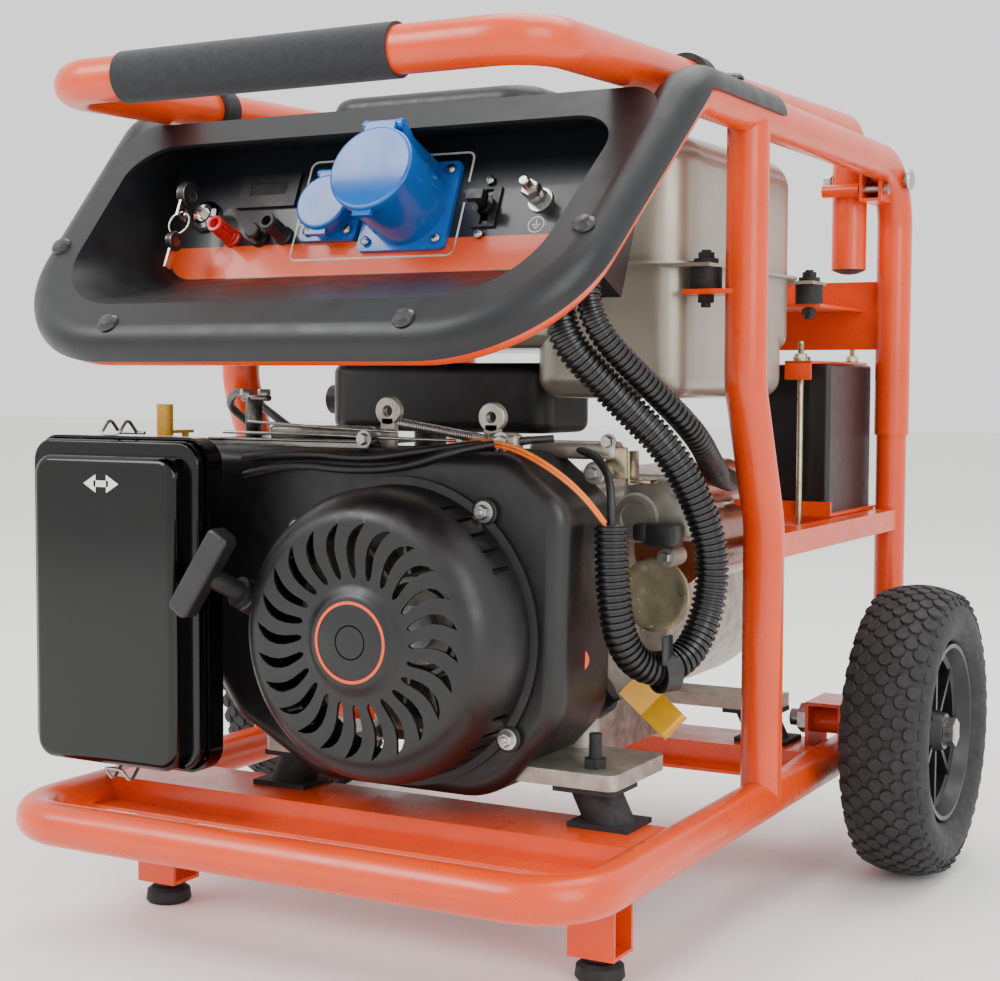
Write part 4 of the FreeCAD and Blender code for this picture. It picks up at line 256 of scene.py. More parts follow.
def makeFinish(
    name,
    light,
    dark,
    patch,
    rough,
    metallic=0.0,
    ior=None,
    grain=None,
    depth=0.0,
    coat=0.0,
    detail=3.0,
    sheen=0.0,
):
    # light and dark: the colour's own drift; patch: size of that drift in mm; grain: size of the relief in mm
    material = bpy.data.materials.new(name)
    material.use_nodes = True
    tree = material.node_tree
    shader = tree.nodes["Principled BSDF"]
    place = addNode(tree, "ShaderNodeTexCoord")
    drift = addNode(
        tree,
        "ShaderNodeTexNoise",
        None,
        {"Vector": (place, "Object"), "Scale": 1000 / patch, "Detail": detail},
    )
    tone = addNode(tree, "ShaderNodeValToRGB", None, {"Fac": (drift, "Fac")})
    tone.color_ramp.elements[0].position = 0.3
    tone.color_ramp.elements[1].position = 0.7
    tone.color_ramp.elements[0].color = linear(dark)
    tone.color_ramp.elements[1].color = linear(light)
    tree.links.new(tone.outputs["Color"], shader.inputs["Base Color"])
    smear = addNode(
        tree,
        "ShaderNodeTexNoise",
        None,
        {"Vector": (place, "Object"), "Scale": 2600 / patch, "Detail": 5.0},
    )
    spread = addNode(
        tree,
        "ShaderNodeMapRange",
        None,
        {"Value": (smear, "Fac"), "From Min": 0.3, "From Max": 0.7, "To Min": rough[0], "To Max": rough[1]},
    )
    tree.links.new(spread.outputs["Result"], shader.inputs["Roughness"])
    shader.inputs["Metallic"].default_value = metallic
    if ior:
        shader.inputs["IOR"].default_value = ior
    if coat:
        shader.inputs["Coat Weight"].default_value = coat
        shader.inputs["Coat Roughness"].default_value = coatRoughness
    if sheen:
        shader.inputs["Sheen Weight"].default_value = sheen
    if grain:
        skin = addNode(
            tree,
            "ShaderNodeTexNoise",
            None,
            {"Vector": (place, "Object"), "Scale": 1000 / grain, "Detail": 4.0},
        )
        relief = addNode(
            tree, "ShaderNodeBump", None, {"Height": (skin, "Fac"), "Strength": 1.0, "Distance": depth * mm}
        )
        tree.links.new(relief.outputs["Normal"], shader.inputs["Normal"])
    return material


# powder coat: an even satin skin with a faint orange peel
powderCoat = makeFinish(
    "powderCoatOrange", "E04400", "D63E00", 60, (0.24, 0.36), ior=1.5, grain=2.5, depth=0.05, coat=0.15
)
# the same coat on the battery strap, a shade darker: painted shade
shadedClampCoat = makeFinish("powderCoatClampShaded", "DC4000", "C83800", 40, (0.3, 0.42), ior=1.5, grain=2.5, depth=0.05)
# EPDM rubber: matt, with a dusty bloom
footRubber = makeFinish("mouldedRubber", "1F1F20", "141415", 12, (0.6, 0.8), ior=1.5, grain=0.8, depth=0.06)
# bright zinc plate: a soft metal shine with faint cloudy patches
zincPlate = makeFinish(
    "zincPlatedSteel", "C4C4C0", "A9A9A4", 9, (0.25, 0.42), metallic=1.0, grain=1.2, depth=0.02
)
# yellow-passivated zinc: a warm straw tint that shifts from place to place
zincYellow = makeFinish(
    "yellowZincSteel", "C9BE9E", "A8A080", 14, (0.25, 0.4), metallic=1.0, grain=1.2, depth=0.02
)
# injection-moulded ABS with a spark-eroded satin skin
mouldedAbs = makeFinish(
    "satinMouldedAbs", "17181A", "121315", 50, (0.34, 0.46), ior=1.46, grain=0.7, depth=0.035
)
# black oxide with oil: dark steel with a wet glint
blackOxide = makeFinish(
    "blackOxideSteel", "232326", "18181A", 8, (0.28, 0.42), ior=1.5, grain=1.0, depth=0.02, coat=0.3
)
# screen-printed steel: a flat even ink skin, slightly glossy
platePrint = makeFinish(
    "screenPrintedSteel", "1A1C22", "15171C", 70, (0.3, 0.4), ior=1.5, grain=1.5, depth=0.015, coat=0.2
)
# satin enamel on pressed steel: dark, with a slight texture
blackEnamel = makeFinish(
    "satinBlackEnamel", "121213", "0C0C0D", 30, (0.32, 0.48), ior=1.5, grain=1.6, depth=0.05
)
# gloss enamel: deep black with long clear reflections
glossEnamel = makeFinish(
    "glossBlackEnamel", "060607", "040404", 60, (0.1, 0.16), ior=1.4, grain=3.0, depth=0.03, coat=0.1
)
# bright chrome: nearly a mirror, its gloss drifting a little
chrome = makeFinish("brightChrome", "D8D9DB", "C6C7CA", 20, (0.08, 0.16), metallic=1.0)
# glass-filled nylon mouldings: dark and faintly grainy
blackNylon = makeFinish("blackNylon", "1D1D1F", "141416", 20, (0.34, 0.5), ior=1.53, grain=0.9, depth=0.04)
# moulded insulating nylon: clean and glossy
redNylon = makeFinish("redInsulator", "D3221A", "C21A14", 20, (0.2, 0.3), ior=1.53, grain=1.0, depth=0.01)
# moulded polyamide of the outlets: even blue with a sharp highlight
bluePolyamide = makeFinish(
    "blueGlossPolyamide", "0F6AC2", "0A5FB4", 40, (0.16, 0.26), ior=1.53, grain=1.6, depth=0.02, coat=0.2
)
# metallic lacquer: fine flakes under a clear coat
tankLacquer = makeFinish(
    "champagneMetallicLacquer",
    "A39B8D",
    "968E80",
    90,
    (0.3, 0.38),
    metallic=0.55,
    grain=0.5,
    depth=0.008,
    coat=0.35,
)
# polypropylene case: soft black sheen with a fine leather grain
batteryPolypropylene = makeFinish(
    "blackPolypropylene", "18181A", "111113", 30, (0.3, 0.44), ior=1.49, grain=0.8, depth=0.05
)
# sand-cast aluminium: grey, rough and patchy
castAluminium = makeFinish(
    "sandCastAluminium", "BDB8AE", "9B968C", 18, (0.38, 0.58), metallic=0.9, grain=1.6, depth=0.14
)
# turned steel: fine marks and a cold shine
machinedSteel = makeFinish(
    "machinedSteel", "A5A5A6", "8C8C8D", 12, (0.22, 0.35), metallic=1.0, grain=0.6, depth=0.01
)
# copper-brown lacquer on the starter motor: metal seen through a tinted coat
copperLacquer = makeFinish(
    "copperBrownLacquer",
    "8E4B2C",
    "7A3D22",
    20,
    (0.24, 0.36),
    metallic=0.6,
    grain=1.4,
    depth=0.03,
    coat=0.3,
)
# tyre rubber: matt, dusty black
tyreRubber = makeFinish("tyreRubber", "28282A", "1B1B1C", 16, (0.62, 0.82), ior=1.5, grain=1.1, depth=0.08)
# glass-filled nylon rim: smooth black, a little glossier than the tyre
rimNylon = makeFinish("blackGlassNylon", "1A1A1C", "121214", 25, (0.3, 0.44), ior=1.53, grain=0.9, depth=0.04)
# closed-cell foam: soft and matt; its cells are drawn 1.5 mm wide so that they show
gripFoam = makeFinish(
    "closedCellFoam", "242529", "1B1C1F", 5, (0.72, 0.88), ior=1.4, grain=1.5, depth=0.28, sheen=0.15
)
# nickel silver keys: warm pale metal, worn smooth
keyMetal = makeFinish("nickelSilver", "C8C4B8", "B2AEA2", 8, (0.18, 0.3), metallic=1.0)
# acetal lever: waxy yellow
chokePlastic = makeFinish(
    "yellowAcetal", "D9A21B", "CB9415", 10, (0.25, 0.35), ior=1.48, grain=1.0, depth=0.02
)
# corrugated polyamide hose: each rib carries its own highlight
conduitNylon = makeFinish(
    "conduitPolyamide", "161618", "0F0F10", 14, (0.26, 0.38), ior=1.53, grain=1.0, depth=0.02
)
# PVC cable sheath: soft black
cableVinyl = makeFinish("blackVinyl", "1C1C1D", "131314", 12, (0.36, 0.5), ior=1.52, grain=1.0, depth=0.02)
# PVC wire insulation: bright and slightly glossy
orangeVinyl = makeFinish("orangeVinyl", "F07A1E", "E56C14", 12, (0.3, 0.4), ior=1.52, grain=1.0, depth=0.01)
# screen ink and coloured print: flat and even
orangeInk = makeFinish(
    "orangeScreenInk", "E84C00", "DE4600", 40, (0.3, 0.38), ior=1.5, grain=1.5, depth=0.01, coat=0.2
)
whiteInk = makeFinish("whiteScreenInk", "E4E4E2", "D8D8D6", 20, (0.4, 0.5), ior=1.5, grain=1.2, depth=0.01)
# zinc chromate on pressed steel: dull silver-green with bright streaks
polishedSteel = makeFinish(
    "zincChromateSteel", "8F9088", "6E6F69", 26, (0.18, 0.34), metallic=1.0, grain=2.0, depth=0.03
)
# smoked acrylic: dark, with a hard clear reflection
smokedWindow = makeFinish("smokedAcrylic", "3A3D3B", "2F3230", 10, (0.08, 0.14), ior=1.49, coat=0.6)

looks = {
    powderCoat: [
        "base_tube",
        "upper_loop",
        "front_uprights",
        "crossmembers",
        "tank_brackets",
        "battery_shelf",
        "weld_brackets",
        "handle_tube",
    ],
    footRubber: ["rubber_feet", "rubber_mounts", "handle_hooks"],
    zincPlate: ["frame_bolts", "lock_pin_left", "lock_pin_right", "clip_top", "clip_bottom"],
    zincYellow: ["control_bracket"],
    mouldedAbs: ["panel_bezel"],
    blackOxide: ["bezel_screws"],
    platePrint: ["control_plate"],
    blackEnamel: ["control_box", "muffler", "blower_shroud", "recoil_cover"],
    glossEnamel: ["filter_base", "filter_cover"],
    chrome: ["key_switch"],
    blackNylon: [
        "panel_meter",
        "breaker_switch",
        "wiring_conduit",
        "dc_button",
        "breaker_lever",
        "fuel_cap",
        "oil_cap",
        "recoil_grip",
        "tank_cover",
    ],
    redNylon: ["terminals"],
    bluePolyamide: ["small_socket", "large_socket", "small_socket_lid", "large_socket_lid"],
    tankLacquer: ["tank_lower", "tank_upper"],
    batteryPolypropylene: ["battery_case"],
    shadedClampCoat: ["battery_clamp"],
    castAluminium: ["crankcase", "cylinder_head", "carburettor", "alternator_housing", "flywheel"],
    machinedSteel: ["crankshaft"],
    copperLacquer: ["starter_motor"],
    tyreRubber: ["tyre_right", "tyre_left"],
    rimNylon: ["rim_right", "rim_left"],
    gripFoam: ["handle_grip"],
    keyMetal: ["ignition_key", "key_ring"],
    chokePlastic: ["choke_lever"],
}
for material, names in looks.items():
    for name in names:
        for used in nodes[name].material_slots:
            used.material = material
print("finishes on", sum(len(names) for names in looks.values()), "of", len(nodes), "nodes")

# places on the sloping control plate, in mm: across, up and out of its face
plate = {"lean": 23.5, "flare": 24 / 119}
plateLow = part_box("control_plate")[0]
plateSine, plateCosine = math.sin(math.radians(plate["lean"])), math.cos(math.radians(plate["lean"]))
plateTurn = Matrix.Rotation(math.radians(90 - plate["lean"]), 3, "X")
facingFront = Matrix.Rotation(math.pi / 2, 3, "X")
facingRight = Matrix.Rotation(math.pi / 2, 3, "Y")


def onPlate(across, up, out=0.0):
    foot = Vector(plateLow) + Vector((0, 0, 2 * plateSine * mm))
    way = Vector((0, up * plateSine - out * plateCosine, up * plateCosine + out * plateSine))
    return Vector((across * mm, foot.y, foot.z)) + way * mm


def middleOf(node):
    low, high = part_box(node)
    return (Vector(low) + Vector(high)) / 2


# tyres: a smooth carcass with seven staggered rows of tread blocks and lugs on the shoulders, in mm
# drop: how fast the crown falls away from its middle, per mm squared
tyre = {
    "carcass": [
        (80, -26),
        (84, -31),
        (92, -36),
        (101, -38.3),
        (110, -37),
        (118, -32.5),
        (124, -25.5),
        (127, -15),
        (128, 0),
    ],
    "pitches": 44,
    "rowStep": 9.15,
    "rows": 7,
    "crown": 128,
    "drop": 0.0066,
    "block": 6.4,
    "lug": (9, 5, 3.2),
    "lugPlace": (115.5, 33.8),
}


def makeTread():
    blocks = []
    size = tyre["block"]
    stagger = math.pi / tyre["pitches"]
    for row in range(tyre["rows"]):
        across = (row - (tyre["rows"] - 1) / 2) * tyre["rowStep"]
        radius = tyre["crown"] - tyre["drop"] * across * across
        out = Vector((1, 0, 2 * tyre["drop"] * across))
        knob = lathe([(size, -1), (size, 1.2), (size * 0.9, 2)], sides=8)
        turn = Matrix.Rotation(stagger * (row % 2), 3, "Z")
        place = turn @ Vector((radius * mm, 0, across * mm))
        moveTo(knob, place, turn @ towards(out, math.pi / 8))
        blocks.append(knob)
    for side in (-1, 1):
        radius, across = tyre["lugPlace"]
        lug = block(tyre["lug"], edge=0.8, steps=1)
        moveTo(lug, (radius * mm, 0, side * across * mm), towards((0.75, 0, side * 0.66)))
        blocks.append(lug)
    return turnCopies(joinAll(blocks), tyre["pitches"])


def makeTyre():
    half = tyre["carcass"]
    profile = half + [(radius, -across) for radius, across in reversed(half[:-1])] + [half[0]]
    carcass = lathe(profile, sides=96, solid=False)
    return joinAll([carcass, makeTread()])


def addTyres():
    first = makeTyre()
    second = copyOf(first)
    for obj, side in ((first, "right"), (second, "left")):
        moveTo(obj, middleOf("tyre_" + side), facingRight)
        finish(obj, "treadedTyre_" + side, "wheel_" + side, tyreRubber, 40, ["tyre_" + side])


addTyres()
print("tyres made")


# corrugated conduits: radii in mm, routes in metres
# ring: one corrugation, as (share of the radius, mm along)
conduit = {
    "pitch": 5.0,
    "ring": [(0.84, 0), (0.84, 0.8), (1.0, 1.5), (1.0, 3.5), (0.84, 4.2), (0.84, 5.0)],
    "mainRadius": 13,
    "main": [
        onPlate(150, 8, -34), onPlate(150, -30, -34), (0.186, -0.160, 0.432), (0.228, -0.134, 0.384),
        (0.250, -0.112, 0.318), (0.247, -0.114, 0.264), (0.236, -0.136, 0.226), (0.212, -0.172, 0.224),
        (0.199, -0.190, 0.268), (0.198, -0.188, 0.336),
    ],
    "sideRadius": 10,
    "side": [
        onPlate(174, 9, -34), onPlate(174, -22, -34), (0.212, -0.142, 0.434), (0.232, -0.108, 0.402),
        (0.224, -0.052, 0.374), (0.212, 0.000, 0.360), (0.204, 0.048, 0.356),
    ],
}


def routeCurve(points):
    data = bpy.data.curves.new("route", "CURVE")
    data.dimensions = "3D"
    spline = data.splines.new("NURBS")
    spline.points.add(len(points) - 1)
    for point, place in zip(spline.points, points):
        point.co = (*place, 1)
    spline.order_u = 3
    spline.use_endpoint_u = True
    spline.resolution_u = 16
    route = bpy.data.objects.new("route", data)
    bpy.context.scene.collection.objects.link(route)
    return route


def makeCorrugated(points, radius):
    route = routeCurve(points)
    length = route.data.splines[0].calc_length() / mm
    count = int(length / conduit["pitch"])
    tube = lathe([(share * radius, along) for share, along in conduit["ring"]], sides=20, solid=False)
    step = {"use_relative_offset": False, "use_constant_offset": True}
    step["constant_offset_displace"] = (0, 0, conduit["pitch"] * mm)
    useModifier(tube, "ARRAY", count=count, use_merge_vertices=True, merge_threshold=0.0001, **step)
    closeEnds(tube)
    useModifier(tube, "CURVE", object=route, deform_axis="POS_Z")
    bpy.data.objects.remove(route)
    return tube


def closeEnds(tube):
    heights = [v.co.z for v in tube.data.vertices]
    for level in (min(heights), max(heights)):
        selectVertices(tube, lambda co: abs(co.z - level) < sameHeight)
        bpy.ops.mesh.edge_face_add()
        bpy.ops.object.mode_set(mode="OBJECT")
    cleanMesh(tube)


def makeCable(points, radius, sides=3):
    route = routeCurve(points)
    route.data.bevel_depth = radius * mm
    route.data.bevel_resolution = sides
    route.data.use_fill_caps = True
    takeUp(route)
    bpy.ops.object.convert(target="MESH")
    return bpy.context.object


def addConduits():
    main = makeCorrugated(conduit["main"], conduit["mainRadius"])
    finish(main, "mainConduit", "frame", conduitNylon, 25, ["wiring_conduit"])
    side = makeCorrugated(conduit["side"], conduit["sideRadius"])
    finish(side, "starterConduit", "frame", conduitNylon, 25)


addConduits()
print("conduits made")

# cables and wires over the shroud: radius in mm, route in metres
wires = {
    "throttleCable": (
        3.4,
        [
            (-0.105, -0.234, 0.366),
            (-0.06, -0.2365, 0.377),
            (0.0, -0.237, 0.372),
            (0.05, -0.236, 0.376),
            (0.09, -0.225, 0.392),
            (0.13, -0.19, 0.397),
        ],
    ),
    "stopCable": (
        3.0,
        [
            (-0.105, -0.236, 0.380),
            (-0.05, -0.236, 0.386),
            (0.01, -0.2355, 0.381),
            (0.06, -0.232, 0.389),
            (0.10, -0.20, 0.395),
            (0.14, -0.17, 0.398),
        ],
    ),
    "sensorCable": (
        3.2,
        [
            (0.198, -0.188, 0.33),
            (0.198, -0.188, 0.352),
            (0.192, -0.18, 0.372),
            (0.172, -0.166, 0.388),
            (0.15, -0.155, 0.39),
        ],
    ),
    "plugLead": (
        3.6,
        [
            (-0.19, -0.085, 0.385),
            (-0.21, -0.09, 0.405),
            (-0.225, -0.10, 0.42),
            (-0.19, -0.13, 0.435),
            (-0.15, -0.15, 0.42),
            (-0.11, -0.15, 0.395),
        ],
    ),
}
orangeWires = [
    (0.196, -0.194, 0.334),
    (0.188, -0.202, 0.350),
    (0.168, -0.214, 0.372),
    (0.135, -0.214, 0.389),
    (0.105, -0.208, 0.394),
    (0.075, -0.196, 0.394),
]


def addWires():
    for name, (radius, points) in wires.items():
        cable = makeCable(points, radius)
        finish(cable, name, "frame", cableVinyl, 60)
    for number, shift in enumerate((0, 3.0)):
        points = [Vector(p) + Vector((0, -0.2, shift)) * mm for p in orangeWires]
        finish(makeCable(points, 1.4), f"orangeWire{number}", "frame", orangeVinyl, 60)


addWires()

# the print on the control plate, in mm
# frame: left, right, low and high sides of the white line; gap: where its right side is open
printed = {
    "band": 29,
    "bandHalf": 199,
    "corner": 23,
    "frame": (-81, 73, 14, 105),
    "frameCorner": 7,
    "gap": (46, 64),
    "line": 1.7,
    "thick": 0.15,
    "earthRing": (139, 38),
    "earthBars": [(139, 40.2, 0.8, 4.4), (139, 38.0, 7.0, 0.8), (139, 36.2, 4.6, 0.8), (139, 34.6, 2.2, 0.8)],
    "postSigns": [(-129, 47, 4.2, 1.0), (-129, 47, 1.0, 4.2), (-77, 47, 4.2, 1.0)],
}


def flatPatch(width, height, taper, corners, radius):
    # a plane in mm with its lower edge on X, its top wider by taper each side and the named corners rounded
    deselectAll()
    bpy.ops.mesh.primitive_plane_add(size=1, location=(0, height / 2 * mm, 0))
    obj = bpy.context.object
    obj.scale = (width * mm, height * mm, 1)
    applyPlace(obj)
    middle = height / 2 * mm
    selectVertices(obj, lambda co: co.y > middle)
    bpy.ops.transform.resize(value=((width + 2 * taper) / width, 1, 1))
    selectVertices(obj, lambda co: ("top" if co.y > middle else "bottom") in corners)
    bpy.ops.mesh.bevel(offset=radius * mm, segments=8, affect="VERTICES")
    bpy.ops.object.mode_set(mode="OBJECT")
    return obj


def thicken(obj):
    useModifier(obj, "SOLIDIFY", thickness=printed["thick"] * mm, offset=1.0)


def makeFrameLine():
    left, right, low, high = printed["frame"]
    obj = flatPatch(right - left, high - low, 0, ("top", "bottom"), printed["frameCorner"])
    bpy.ops.object.mode_set(mode="EDIT")
    bpy.ops.mesh.select_all(action="SELECT")
    bpy.ops.mesh.inset(thickness=printed["line"] * mm)
    bpy.ops.mesh.delete(type="FACE")
    gapLow, gapHigh = printed["gap"]
    for level in (gapLow, gapHigh):
        bpy.ops.mesh.select_all(action="SELECT")
        bpy.ops.mesh.bisect(plane_co=(0, level * mm, 0), plane_no=(0, 1, 0))
    bpy.ops.mesh.select_mode(type="FACE")
    bpy.ops.mesh.select_all(action="DESELECT")
    bpy.ops.object.mode_set(mode="OBJECT")
    for face in obj.data.polygons:
        face.select = face.center.x > 50 * mm and gapLow * mm < face.center.y < gapHigh * mm
    bpy.ops.object.mode_set(mode="EDIT")
    bpy.ops.mesh.delete(type="FACE")
    bpy.ops.object.mode_set(mode="OBJECT")
    thicken(obj)
    moveTo(obj, onPlate((left + right) / 2, low, 0.02), plateTurn)
    return obj


def addPrint():
    taper = printed["band"] * plate["flare"]
    band = flatPatch(2 * printed["bandHalf"], printed["band"], taper, ("bottom",), printed["corner"])
    thicken(band)
    moveTo(band, onPlate(0, 0.8, 0.02), plateTurn)
    finish(band, "orangeBand", "frame", orangeInk, 30)
    marks = [makeFrameLine()]
    # earth symbol under the stud, and the signs of the two posts
    ring = lathe([(6.0, 0), (6.9, 0), (6.9, 0.15), (6.0, 0.15), (6.0, 0)], sides=40, solid=False)
    moveTo(ring, onPlate(*printed["earthRing"], 0.02), plateTurn)
    marks.append(ring)
    for across, up, wide, tall in printed["earthBars"] + printed["postSigns"]:
        mark = block((wide, tall, 0.15))
        moveTo(mark, onPlate(across, up, 0.1), plateTurn)
        marks.append(mark)
    finish(joinAll(marks), "whiteMarks", "frame", whiteInk, 30)


addPrint()
print("plate printed")

# posts, earth stud, screws and key heads on the control plate
fittings = {
    "red": (-142, 37),
    "black": (-90, 37),
    "earth": (139, 58),
    "post": [
        (3.7, -6),
        (3.7, 0.05),
        (8, 0.05),
        (8, 2.6),
        (6.6, 4),
        (6.6, 7),
        (6.2, 7.5),
        (6.2, 22),
        (6.6, 22.6),
        (7.2, 26.4),
        (6.6, 27.6),
        (4.4, 27.8),
        (4.2, 20),
    ],
    "smallScrews": [(-65, 38), (-27, 38)],
    "largeScrews": [(-7, 27), (57, 27), (-7, 87), (57, 87)],
    "breakerScrews": [(92, 31), (92, 77)],
    "keyHeads": [
        ("keyHead", "key", onPlate(-178.9, 63, 29), 11.4, 7.8),
        ("spareHead", "key_ring", onPlate(-177.9, 19.7, 31), 8.3, 5.8),
    ],
}


def addPost(name, spot, material, instead=()):
    post = lathe(fittings["post"], sides=32)
    flutes = []
    for step in range(12):
        angle = step * math.pi / 6
        rib = block((1.2, 1.6, 12), edge=0.3, steps=1)
        moveTo(
            rib,
            (6.3 * mm * math.cos(angle), 6.3 * mm * math.sin(angle), 0.015),
            Matrix.Rotation(angle, 3, "Z"),
        )
        flutes.append(rib)
    post = joinAll([post] + flutes)
    moveTo(post, onPlate(*spot), plateTurn)
    finish(post, name, "frame", material, 35, instead)


def panScrew():
    radius = 3.9
    head = lathe([(radius, 0), (radius, 0.7), (radius * 0.72, 1.9), (radius * 0.3, 2.3)], sides=24)
    # the slots are thin dark blocks laid on the zinc head: painted shade in the recess
    slots = [block((radius * 1.1, 0.9, 0.3), (0, 0, 2.3)), block((0.9, radius * 1.1, 0.3), (0, 0, 2.3))]
    return head, slots


def addFittings():
    addPost("redPost", fittings["red"], redNylon, ["terminals"])
    addPost("blackPost", fittings["black"], blackNylon)
    stack = [
        lathe([(4, -6), (4, 31), (3.2, 32)], sides=24), lathe([(10, 0.1), (10, 2.1), (4, 2.2)], sides=32)
    ]
    for low in (2, 15):
        lock = hexHead(13.6, 6.5)
        moveTo(lock, (0, 0, low * mm))
        stack.append(lock)
    for low in (9.5, 11.5, 13):
        stack.append(lathe([(6.6, low), (7, low + 0.4), (7, low + 0.9), (6.6, low + 1.3)], sides=28))
    stud = joinAll(stack)
    moveTo(stud, onPlate(*fittings["earth"]), plateTurn)
    finish(stud, "earthStud", "frame", zincPlate, 35)
    for group, level in (("smallScrews", 5.9), ("largeScrews", 5.9), ("breakerScrews", 2.6)):
        heads, slotShades = [], []
        for spot in fittings[group]:
            head, slots = panScrew()
            for item in [head] + slots:
                moveTo(item, onPlate(*spot, level), plateTurn)
            heads.append(head)
            slotShades += slots
        finish(joinAll(heads), group, "frame", zincPlate, 35)
        # the slot blocks wear the black oxide finish as painted shade
        finish(joinAll(slotShades), group + "Slots", "frame", blackOxide, 35)
    for name, body, place, radius, thick in fittings["keyHeads"]:
        rim = [(radius - 1, 0), (radius, 0.9), (radius, thick - 0.9), (radius - 1, thick)]
        head = lathe(rim + [(radius * 0.55, thick), (radius * 0.5, thick - 0.5)], sides=32)
        moveTo(head, place, facingRight)
        finish(head, name, body, blackNylon, 35)


addFittings()
print("fittings made")

# recoil cover: a turned bowl with curved slots in its face and slits in its side, in mm
# slot: points along one slot as (radius, across, half width); slits: how many in a group and degrees apart
recoil = {
    "outside": [
        (119, 0),
        (119, 4),
        (113, 5),
        (112, 36),
        (106, 54),
        (100, 61),
        (94, 65.6),
        (88, 67),
        (44, 68),
        (40, 69),
        (36, 72),
        (32.5, 74),
        (12, 74),
    ],
    "inside": [
        (12, 71),
        (31, 71),
        (38, 65.4),
        (86, 64),
        (93, 60),
        (96, 57),
        (106, 35),
        (109.5, 5),
        (109.5, 0),
        (119, 0),
    ],
    "slot": [
        (47, 0.2, 0.8),
        (50, 0.6, 2.3),
        (56, 2.0, 3.0),
        (63, 3.2, 3.4),
        (70, 3.2, 3.7),
        (77, 1.4, 3.9),
        (82, -1.6, 3.6),
        (86, -5.4, 2.2),
        (87.6, -8.4, 0.6),
    ],
    "slots": 24,
    "slits": (5, 8),
    "ears": (38, 128, 218, 308),
    "earRadius": 120,
    "grip": ((-68, -280, 275), (-0.30, -0.84, 0.45)),
}

# meter window, hub ring, recoil bolts, choke arrow and filler tag, in mm
small = {
    "meter": (-116, 80.5),
    "hubRing": (28.2, 30.5),
    "ringThick": 0.4,
    "arrowHeight": 360,
    "tag": (24, 52, 0.8),
    "tagPlace": (205, -125, 190),
}


def addMeterWindow():
    screen = block((35.4, 10.4, 0.6), edge=0.15, steps=1)
    moveTo(screen, onPlate(*small["meter"], 2.5), plateTurn)
    finish(screen, "meterWindow", "frame", smokedWindow, 30)


def addHubRing():
    axle, front = middleOf("flywheel"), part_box("recoil_cover")[0][1]
    (inner, outer), thick = small["hubRing"], small["ringThick"]
    ring = lathe([(inner, 0), (outer, 0), (outer, thick), (inner, thick), (inner, 0)], sides=72, solid=False)
    moveTo(ring, (axle.x, front + 0.1 * mm, axle.z), facingFront)
    finish(ring, "hubRing", "frame", orangeInk, 30)


def addRecoilBolts():
    axle, back = middleOf("flywheel"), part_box("recoil_cover")[1][1]
    reach = recoil["earRadius"] * mm
    bolts = []
    for turn in recoil["ears"]:
        angle = math.radians(turn)
        base = lathe([(8, 0), (8, 1.2), (5, 1.4)], sides=28)
        head = hexHead(10, 5)
        moveTo(head, (0, 0, 1.2 * mm))
        tip = lathe([(2.6, 6), (2.6, 7.6), (2.0, 8.2)], sides=16)
        bolt = joinAll([base, head, tip])
        place = (axle.x + reach * math.cos(angle), back - 5 * mm, axle.z - reach * math.sin(angle))
        moveTo(bolt, place, facingFront)
        bolts.append(bolt)
    finish(joinAll(bolts), "recoilBolts", "frame", zincPlate, 35)


def addChokeArrow():
    # a plain double arrow on the filter cover, by the choke
    arrow = [block((15, 5, 0.3))]
    for side in (1, -1):
        tip = lathe([(8.2, -0.15), (8.2, 0.15)], sides=3)
        moveTo(tip, (side * 9.5 * mm, 0, 0), Matrix.Rotation(-side * math.pi / 2, 3, "Z"))
        arrow.append(tip)
    arrow = joinAll(arrow)
    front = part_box("filter_cover")[0][1]
    place = (middleOf("filter_cover").x, front - 0.1 * mm, small["arrowHeight"] * mm)
    moveTo(arrow, place, facingFront)
    finish(arrow, "chokeArrow", "frame", whiteInk, 30)


def addFillerTag():
    # a blank yellow tag by the oil filler, curling a little
    tag = block(small["tag"], edge=0.2, steps=1)
    takeUp(tag)
    bpy.ops.object.mode_set(mode="EDIT")
    bpy.ops.mesh.select_all(action="SELECT")
    bpy.ops.mesh.subdivide(number_cuts=7)
    bpy.ops.object.mode_set(mode="OBJECT")
    useModifier(tag, "SIMPLE_DEFORM", deform_method="BEND", deform_axis="X", angle=math.radians(50))
    moveTo(tag, Vector(small["tagPlace"]) * mm, towards((0.25, -0.9, 0.3), math.radians(48)))
    finish(tag, "fillerTag", "frame", chokePlastic, 50)


addMeterWindow()
addHubRing()
addRecoilBolts()
addChokeArrow()
addFillerTag()
print("small pieces made")


def slotCutter():
    shape = recoil["slot"]
    deselectAll()
    bpy.ops.mesh.primitive_grid_add(x_subdivisions=len(shape) - 1, y_subdivisions=1, size=1)
    obj = bpy.context.object
    for vertex in obj.data.vertices:
        step = round((vertex.co.x + 0.5) * (len(shape) - 1))
        radius, across, half = shape[step]
        side = 1 if vertex.co.y > 0 else -1
        vertex.co = (radius * mm, (across + side * half) * mm, 55 * mm)
    useModifier(obj, "SOLIDIFY", thickness=30 * mm, offset=1.0)
    return turnCopies(obj, recoil["slots"])


def cutWith(obj, cutter):
    cleanMesh(cutter)
    useModifier(obj, "BOOLEAN", operation="DIFFERENCE", object=cutter, solver="EXACT")
    bpy.data.objects.remove(cutter)


